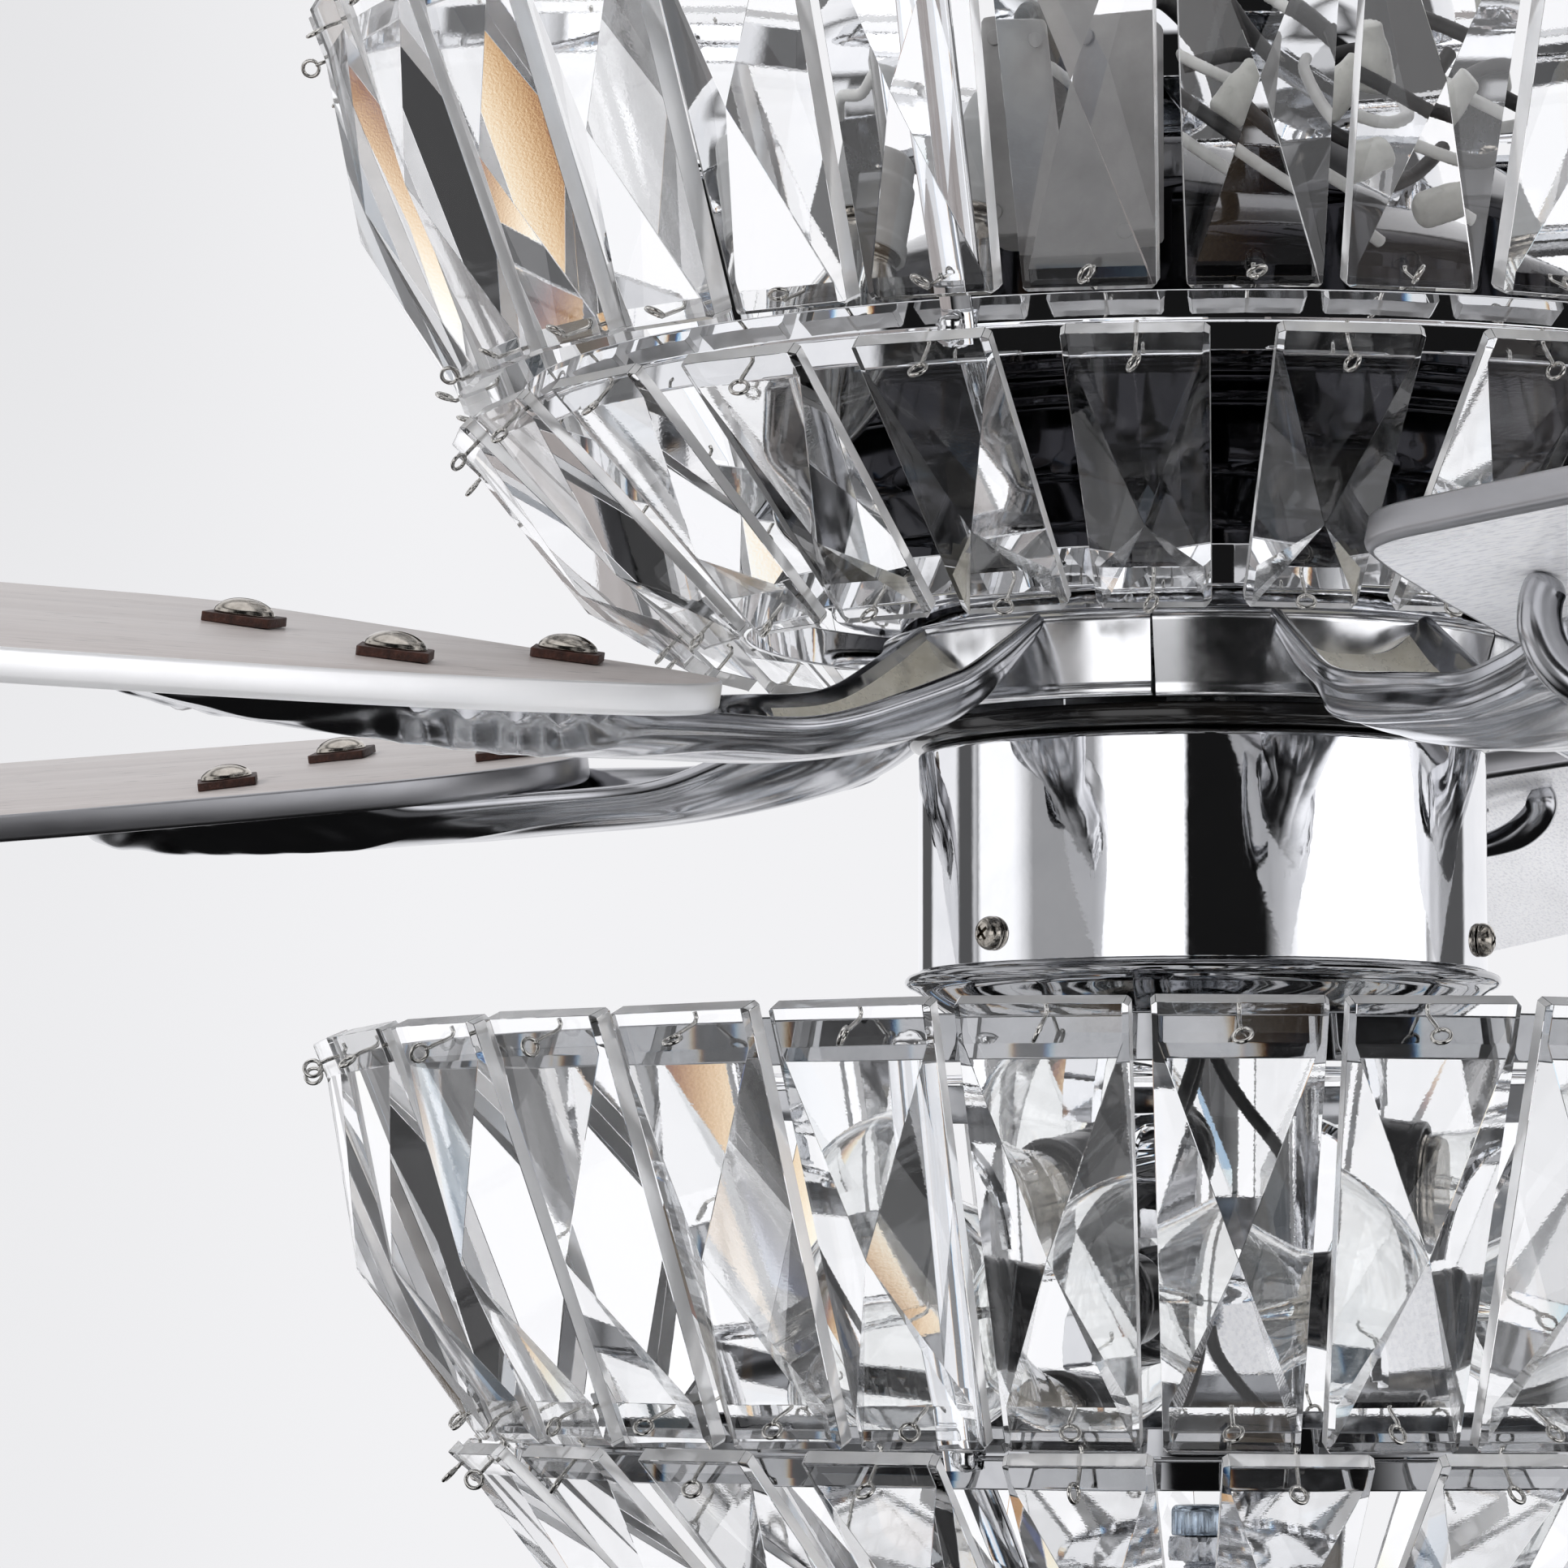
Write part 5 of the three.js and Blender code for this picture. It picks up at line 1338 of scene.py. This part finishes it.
def bowl_frame(tag, drop, drop_low, arms, node_name):
    top = hoop(tag + "_hoop_top", HOOPS["top"][0], HOOPS["top"][1] - drop, HOOPS["top"][2] - drop, 32, 0, replaces=[node_name])
    hoop(tag + "_hoop_mid", HOOPS["mid"][0], HOOPS["mid"][1] - drop, HOOPS["mid"][2] - drop, 32, 0)
    hoop(tag + "_hoop_low", HOOPS["low"][0], HOOPS["low"][1] - drop_low, HOOPS["low"][2] - drop_low, 24, 0)
    for i, a in enumerate(RIB_AZ):
        m = Mesher()
        strap(m, a, (191, 300 - drop), (158.2, 210 - drop))
        strap(m, a, (158.2, 216 - drop), (106.4, 165 - drop_low))
        for s, (r, h) in enumerate(((192.3, 298 - drop), (160.2, 212.5 - drop), (108, 168 - drop_low))):
            blob(m, pol(r, a, h) + et_(a) * rnd.uniform(-3, 3), (3.6, 3.0, 2.6), 1, 5 * i + s)
        m.make("%s_rib_%d" % (tag, i + 1), [CHROME, SOLDER], body=HB, slot="chrome", recalc=True, sharp=45)
    for i, a in enumerate(FRAME_AZ):
        m = Mesher()
        strap(m, a, arms[0], arms[1], 10.0, 1.6)
        blob(m, pol(arms[1][0] - 0.8, a, arms[1][1] - 1.4), (3.2, 3.2, 2.2), 1, 40 + i)
        m.make("%s_arm_%d" % (tag, i + 1), [CHROME, SOLDER], body=HB, slot="chrome", recalc=True, sharp=45)
    return top


upper = bowl_frame("upper", 0, 0, [(26, 279), (190, 298)], "upper_frame")
m = Mesher()
m.lathe([(x, y - CEIL) for x, y in rounded([[15.3, 278.3], [30, 278.3], [30, 279.9], [15.3, 279.9]], 0.4)], 64)
m.make("upper_centre_ring", [CHROME], body=HB, slot="chrome")
lower = bowl_frame("lower", 236.6, 232.4, [(14, 62.8), (190, 62.8)], "lower_frame")
m = Mesher()
m.lathe([(x, y - CEIL) for x, y in rounded([[5.2, 62], [18, 62], [18, 63.6], [5.2, 63.6]], 0.4)], 64)
m.make("lower_centre_ring", [CHROME], body=HB, slot="chrome")
m = Mesher()
m.lathe([(x, y - CEIL) for x, y in rounded([[5.2, -75], [34, -75], [34, -73.6], [5.2, -73.6]], 0.3)], 64)
for a in (47, 167, 287):
    strap(m, a, (30, -74.3), (106.0, -74.3), 9, 1.5)
m.lathe([(x, y - CEIL) for x, y in rounded([[105.6, -76.8], [106.9, -76.8], [106.9, -66], [105.6, -66]], 0.4)], 192)
m.make("lower_spider", [CHROME], body=HB, slot="chrome", recalc=True, sharp=45)

make_tier("upper_long", LONG, 0, 14.9, "upper_crystals_long", upper, (0, 0.97, -0.2), (0, 0.72, 0.66), (7.3, 2.5))
make_tier("upper_short", SHORT, 0, 10.4, "upper_crystals_short", upper, (0, 1.0, -0.05), (0, 0.97, -0.2), (4.6, 5.2))
LOW_LONG = dict(LONG, a=(199.4, 301), b=(165.6, 220.7), over=(4.8, 6.2), at=0.485, front=2.8, apex=15.4, band=(8.5, 10.6), lip=2.9)
LOW_SHORT = dict(SHORT, over=(1.7, 3.6))
make_tier("lower_long", LOW_LONG, 236.6, 13.3, "lower_crystals_long", lower, (0, 0.96, -0.26), (0, 0.9, -0.42), (4.6, 7.6))
make_tier("lower_short", LOW_SHORT, 232.4, 6.35, "lower_crystals_short", lower, (0, 1.0, -0.1), (0, 1.0, -0.1), (4.0, 5.2))
make_tier("base", BASE, 0, 10, "base_crystals", lower, (0, 1.0, 0), (0, 1.0, 0), (2.8, 2.8))

# ------------------------------------------------------------------ bottom of the lower bowl
m = Mesher()
m.lathe([(x, y - CEIL) for x, y in rounded([[5.2, -111], [14, -111], [24, -109.6], [32, -107.5], [40, -104.6], [44, -103], [44, -101.6],
                                            [40, -103.2], [32, -106], [24, -108.1], [14, -109.5], [5.2, -109.5]], [0.3, 2, 4, 3, 2, 0.6, 0.5, 2, 3, 3, 2, 0.3])], 128)
m.make("bowl_cap", [CHROME], body=HB, slot="chrome", replaces=["base_cap"])
m = Mesher()
m.lathe([(x, y - CEIL) for x, y in rounded([[0, -131], [3.5, -130.8], [6.6, -129.4], [9.4, -126.6], [10, -124], [9.2, -120.6], [8, -118.4], [8.6, -117], [11, -115.6], [11.5, -114.6],
                                            [11.5, -111.6], [5.3, -111.4], [5.3, -116.5], [0, -116.8]], 0.8, 3, closed=False)], 72, closed=False)
m.make("bowl_finial", [CHROME], body=HB, slot="chrome", replaces=["finial"], recalc=True)

# ------------------------------------------------------------------ canopy, downrod, cover, bracket
CM = "ceiling_mount"
m = Mesher()
m.lathe(rounded([
    [70, -1], [70, -10], [66, -26], [54, -41.5], [38, -50.5], [24, -53.5], [24, -52],
    [37.5, -49], [53, -40.3], [64.6, -25.6], [68.5, -9.8], [68.5, -1]], [0.4, 8, 10, 10, 8, 0.6, 0.5, 8, 10, 10, 8, 0.4], 6), 160)
canopy = m.make("canopy_cover", [CHROME], body=CM, slot="chrome", replaces=["canopy"])
for k, s in enumerate((-1, 1)):
    m = Mesher()
    sm = Matrix.Translation((s * 48.5, 0, -45.6))
    m.lathe(rounded([[0, -4.6], [2.2, -4.2], [3.8, -2.6], [3.9, -1.6], [1.9, -1.6], [1.9, 8], [0, 8]], [0, 0.6, 0.8, 0.3, 0.1, 0.3, 0], closed=False), 36, closed=False)
    m.v = [sm @ p for p in m.v]
    m.make("canopy_bolt_%d" % (k + 1), [NICKEL], body=CM, slot="nickel", replaces=["canopy_screw_%d" % (k + 1)], at=sm, recalc=True)
m = Mesher()
m.lathe([(x, y - CEIL) for x, y in rounded([[10.65, 282.6], [10.65, 468.5], [8.45, 468.5], [8.45, 282.6]], 0.4)], 64)
m.make("downrod_tube", [CHROME], body=HB, slot="chrome", replaces=["downrod"])
m = Mesher()
m.lathe([(x, y - CEIL) for x, y in rounded([
    [58, 284], [57.6, 289], [56, 296], [50, 304.4], [42, 311], [31, 317.6], [22, 322], [16.6, 327], [14, 333], [11.2, 333],
    [15, 325.4], [21, 320.4], [30, 315.8], [41, 309.7], [49, 303.2], [54.6, 295.4], [56.2, 289], [56.6, 284]], 3, 3)], 128)
m.make("coupling_bell", [CHROME], body=HB, slot="chrome", replaces=["coupling_cover"], recalc=True)

# CAD pieces that stay: finishes on their own solids
for names, mat in ((("ceiling_bracket", "motor_yoke"), ZINC), (("ball_pin", "yoke_pin", "motor_shaft", "upper_bearing", "lower_bearing"), STEEL),
                   (("stator",), COPPER), (("hanger_ball",), BLACK)):
    for nm in names:
        ob = frame["nodes"][nm]
        for s in ob.material_slots:
            s.material = mat

# ------------------------------------------------------------------ floor, world, lights
def floor():
    me = bpy.data.meshes.new("floor")
    R, n = 26.0, 96
    vs = [(R * cos(2 * pi * k / n), R * sin(2 * pi * k / n), -1.75) for k in range(n)]
    me.from_pydata(vs, [], [list(range(n))])
    ob = bpy.data.objects.new("floor", me)
    scene.collection.objects.link(ob)
    mt = bpy.data.materials.new("pale_floor")
    mt.use_nodes = True
    nt = mt.node_tree
    p = nt.nodes["Principled BSDF"]
    nn = noise(nt, coords(nt), 3.0, 3.0, 0.5)
    c = ramp(nt, nn.outputs["Fac"], [(0.3, (0.90, 0.90, 0.905)), (0.7, (0.93, 0.93, 0.935))])
    nt.links.new(c.outputs["Color"], p.inputs["Base Color"])
    p.inputs["Roughness"].default_value = 0.9
    geo = nt.nodes.new("ShaderNodeNewGeometry")
    tr = nt.nodes.new("ShaderNodeBsdfTransparent")
    mx = nt.nodes.new("ShaderNodeMixShader")
    nt.links.new(geo.outputs["Backfacing"], mx.inputs["Fac"])
    nt.links.new(p.outputs["BSDF"], mx.inputs[1])
    nt.links.new(tr.outputs["BSDF"], mx.inputs[2])
    nt.links.new(mx.outputs["Shader"], nt.nodes["Material Output"].inputs["Surface"])
    me.materials.append(mt)
    ob.visible_glossy = False
    ob.visible_transmission = False


floor()

world = bpy.data.worlds.new("studio")
scene.world = world
world.use_nodes = True
nt = world.node_tree
bg = nt.nodes["Background"]
tc = nt.nodes.new("ShaderNodeTexCoord")
sep = nt.nodes.new("ShaderNodeSeparateXYZ")
nt.links.new(tc.outputs["Generated"], sep.inputs["Vector"])


def mth(op, a, b=None, c=None):
    n = nt.nodes.new("ShaderNodeMath")
    n.operation = op
    for i, x in enumerate((a, b, c)):
        if x is None:
            continue
        if isinstance(x, (int, float)):
            n.inputs[i].default_value = x
        else:
            nt.links.new(x, n.inputs[i])
    return n.outputs[0]


def sstep(x, a, b):
    n = nt.nodes.new("ShaderNodeMapRange")
    n.interpolation_type = "SMOOTHSTEP"
    nt.links.new(x, n.inputs["Value"])
    n.inputs["From Min"].default_value, n.inputs["From Max"].default_value = a, b
    n.inputs["To Min"].default_value, n.inputs["To Max"].default_value = 0.0, 1.0
    return n.outputs["Result"]


def window(x, a, b, s0, s1=None):
    """1 between a and b, with soft edges s0 and s1 wide."""
    s1 = s0 if s1 is None else s1
    return mth("MULTIPLY", sstep(x, a - s0 / 2, a + s0 / 2), mth("SUBTRACT", 1.0, sstep(x, b - s1 / 2, b + s1 / 2)))


lp = nt.nodes.new("ShaderNodeLightPath")
nz = nt.nodes.new("ShaderNodeTexNoise")
nz.inputs["Scale"].default_value = 2.3
nz.inputs["Detail"].default_value = 3.0
nt.links.new(tc.outputs["Generated"], nz.inputs["Vector"])
nz2 = nt.nodes.new("ShaderNodeTexNoise")
nz2.inputs["Scale"].default_value = 6.5
nz2.inputs["Detail"].default_value = 3.0
nt.links.new(tc.outputs["Generated"], nz2.inputs["Vector"])
wob = mth("SUBTRACT", nz.outputs["Fac"], 0.5)
wob2 = mth("SUBTRACT", nz2.outputs["Fac"], 0.5)
# degrees: azimuth 0 is the camera's side (-Y), +90 the right; elevation 0 the horizon
AZ0 = mth("ADD", mth("MULTIPLY", mth("ARCTAN2", sep.outputs["X"], mth("MULTIPLY", sep.outputs["Y"], -1.0)), 57.29578), mth("MULTIPLY", wob, 9.0))
EL0 = mth("ADD", mth("MULTIPLY", mth("ARCSINE", sep.outputs["Z"]), 57.29578), mth("MULTIPLY", wob2, 3.0))


def studio():
    """The room seen in the chrome: white paper behind, two soft boxes beside the camera, a dark room round them."""
    az, el = AZ0, EL0
    aza = mth("ABSOLUTE", az)
    back = mth("MULTIPLY", sstep(aza, 97, 108), window(el, -24, 46, 12))
    fall = sstep(el, -38, -6)
    left1 = mth("MULTIPLY", window(az, -42, -7, 12, 3), mth("MULTIPLY", fall, window(el, -50, 9.1, 4, 0.8)))
    left2 = mth("MULTIPLY", window(az, -101, -73, 4, 18), mth("MULTIPLY", fall, window(el, -50, 9.1, 4, 0.8)))
    grey_l = mth("MULTIPLY", window(az, -78, -40, 5), window(el, -12, 9.1, 10, 0.8))
    wall_l = mth("MULTIPLY", window(az, -101, -54, 4), window(el, 6, 42, 3, 10))
    right1 = mth("MULTIPLY", window(az, 34, 101, 20, 3), window(el, -22, 9.1, 12, 0.8))
    wall_r = mth("MULTIPLY", window(az, 86, 101, 4), window(el, 5, 42, 3, 10))
    top = sstep(el, 46, 60)
    strip = mth("MULTIPLY", window(az, -58, -30, 10), window(el, 22, 38, 6))
    strip2 = mth("MULTIPLY", window(az, 24, 46, 10), window(el, 20, 32, 6))
    low = mth("MULTIPLY", window(az, -80, 20, 24), window(el, -74, -40, 12))
    v = 0.009
    for x, gain in ((back, 0.98), (left1, 1.5), (left2, 1.2), (grey_l, 0.36), (wall_l, 0.95), (right1, 1.5), (wall_r, 0.85), (top, 1.1), (strip, 0.6),
                    (strip2, 0.45), (low, 0.16)):
        v = mth("MAXIMUM", mth("MULTIPLY", x, gain), v)
    # stands and flags
    for a, b in ((108, 131), (-157, -141), (-116, -105)):
        v = mth("MULTIPLY", v, mth("SUBTRACT", 1.0, mth("MULTIPLY", mth("MULTIPLY", window(az, a, b, 4), window(el, -40, 30, 10)), 0.9)))
    return v


def behind_glass(shift):
    """The same room bent a little apart for each colour, as cut glass spreads them."""
    az, el = mth("ADD", AZ0, shift), mth("ADD", EL0, shift * 0.8)
    aza = mth("ABSOLUTE", az)
    v = 0.02
    back = mth("MULTIPLY", sstep(aza, 98.3, 99.8), window(el, -60, 44, 1.6))
    left1 = mth("MULTIPLY", window(az, -40, 4, 1.5), window(el, -62, 9, 1.5))
    left2 = mth("MULTIPLY", window(az, -96, -56, 1.5), window(el, -62, 34, 1.8))
    floor_l = mth("MULTIPLY", window(az, -96, 6, 2), window(el, -64, -10, 2))
    right1 = mth("MULTIPLY", window(az, 28, 96, 1.5), window(el, -27, 9, 1.5))
    wall_r = mth("MULTIPLY", window(az, 34, 96, 1.5), window(el, 7, 36, 1.8))
    top = sstep(el, 46, 60)
    for x, gain in ((back, 1.06), (left1, 1.3), (left2, 1.15), (floor_l, 0.95), (right1, 1.3), (wall_r, 0.9), (top, 0.7)):
        v = mth("MAXIMUM", mth("MULTIPLY", x, gain), v)
    # stands, flags and the dark corners of the room
    for a, b, e0, e1, dark in ((106, 118, -50, 30, 0.95), (141, 149, -50, 26, 0.9), (160, 165, -60, 40, 0.9), (-112, -102, -50, 60, 0.9), (-151, -126, -25, 4, 0.955),
                               (-170, -164, -60, 36, 0.9), (-152, -147, -50, 60, 0.9), (-180, -112, 36, 70, 0.6), (60, 66, -30, 40, 0.85), (-70, -63, -64, 20, 0.8),
                               (-24, -19, -60, 0, 0.75)):
        v = mth("MULTIPLY", v, mth("SUBTRACT", 1.0, mth("MULTIPLY", mth("MULTIPLY", window(az, a, b, 1.2), window(el, e0, e1, 1.6)), dark)))
    return v


metal_sky = studio()
comb = nt.nodes.new("ShaderNodeCombineColor")
for ch, sh in (("Red", -0.2), ("Green", 0.0), ("Blue", 0.2)):
    mxn = nt.nodes.new("ShaderNodeMix")
    mxn.data_type = "FLOAT"
    nt.links.new(lp.outputs["Is Transmission Ray"], mxn.inputs["Factor"])
    nt.links.new(metal_sky, mxn.inputs["A"])
    nt.links.new(behind_glass(sh), mxn.inputs["B"])
    nt.links.new(mxn.outputs["Result"], comb.inputs[ch])
tint = nt.nodes.new("ShaderNodeMix")
tint.data_type, tint.blend_type = "RGBA", "MULTIPLY"
tint.inputs["Factor"].default_value = 1.0
nt.links.new(comb.outputs["Color"], tint.inputs["A"])
tint.inputs["B"].default_value = (0.985, 0.985, 1.01, 1)
# what the camera sees behind the fan is plain: light grey to the left, near white round the fan
az_b = mth("MULTIPLY", mth("ARCTAN2", sep.outputs["X"], sep.outputs["Y"]), 57.29578)
far_l = mth("MULTIPLY", mth("SUBTRACT", 1.0, sstep(az_b, -11.5, -6.5)), sstep(az_b, -130, -40))
shade = mth("SUBTRACT", 0.888, mth("MULTIPLY", far_l, mth("MULTIPLY_ADD", sstep(EL0, 3, 12), 0.055, 0.048)))
cc_ = nt.nodes.new("ShaderNodeCombineColor")
nt.links.new(shade, cc_.inputs["Red"]); nt.links.new(shade, cc_.inputs["Green"])
nt.links.new(mth("MULTIPLY", shade, 1.02), cc_.inputs["Blue"])
sel = nt.nodes.new("ShaderNodeMix")
sel.data_type = "RGBA"
nt.links.new(lp.outputs["Is Camera Ray"], sel.inputs["Factor"])
nt.links.new(tint.outputs["Result"], sel.inputs["A"])
nt.links.new(cc_.outputs["Color"], sel.inputs["B"])
nt.links.new(sel.outputs["Result"], bg.inputs["Color"])
bg.inputs["Strength"].default_value = 1.0


def area(name, loc, target, size, power, shape="RECTANGLE"):
    d = bpy.data.lights.new(name, "AREA")
    d.shape, d.size, d.size_y, d.energy = shape, size[0], size[1], power
    o = bpy.data.objects.new(name, d)
    scene.collection.objects.link(o)
    o.location = loc
    o.visible_glossy = False
    o.visible_transmission = False
    o.rotation_euler = (Vector(target) - Vector(loc)).to_track_quat("-Z", "Y").to_euler()
    return o


area("key_left", (-2.6, -2.2, 0.9), (0, 0, -0.35), (1.4, 1.8), 60)
area("key_right", (2.4, -2.4, 0.2), (0, 0, -0.4), (1.0, 1.8), 35)
area("under", (0.3, -1.2, -1.6), (0, 0, -0.4), (1.6, 1.2), 21)

scene.view_settings.view_transform = "Standard"
scene.view_settings.look = "None"
scene.view_settings.exposure = 0.0
scene.cycles.max_bounces = 24
scene.cycles.transmission_bounces = 24
scene.cycles.glossy_bounces = 8
scene.cycles.transparent_max_bounces = 12
scene.cycles.caustics_reflective = True
scene.cycles.caustics_refractive = True

for ob in list(scene.objects):
    if ob.type == "MESH" and ("hoop" in ob.name or ob.name in ("switch_drum", "light_pan", "switch_band", "motor_can_shell", "hub_flange",
                                                                                          "canopy_cover", "coupling_bell", "downrod_tube", "bowl_cap", "bowl_finial")):
        w = ob.modifiers.new("Normals", "WEIGHTED_NORMAL")
        w.mode, w.weight, w.keep_sharp = "FACE_AREA", 80, True
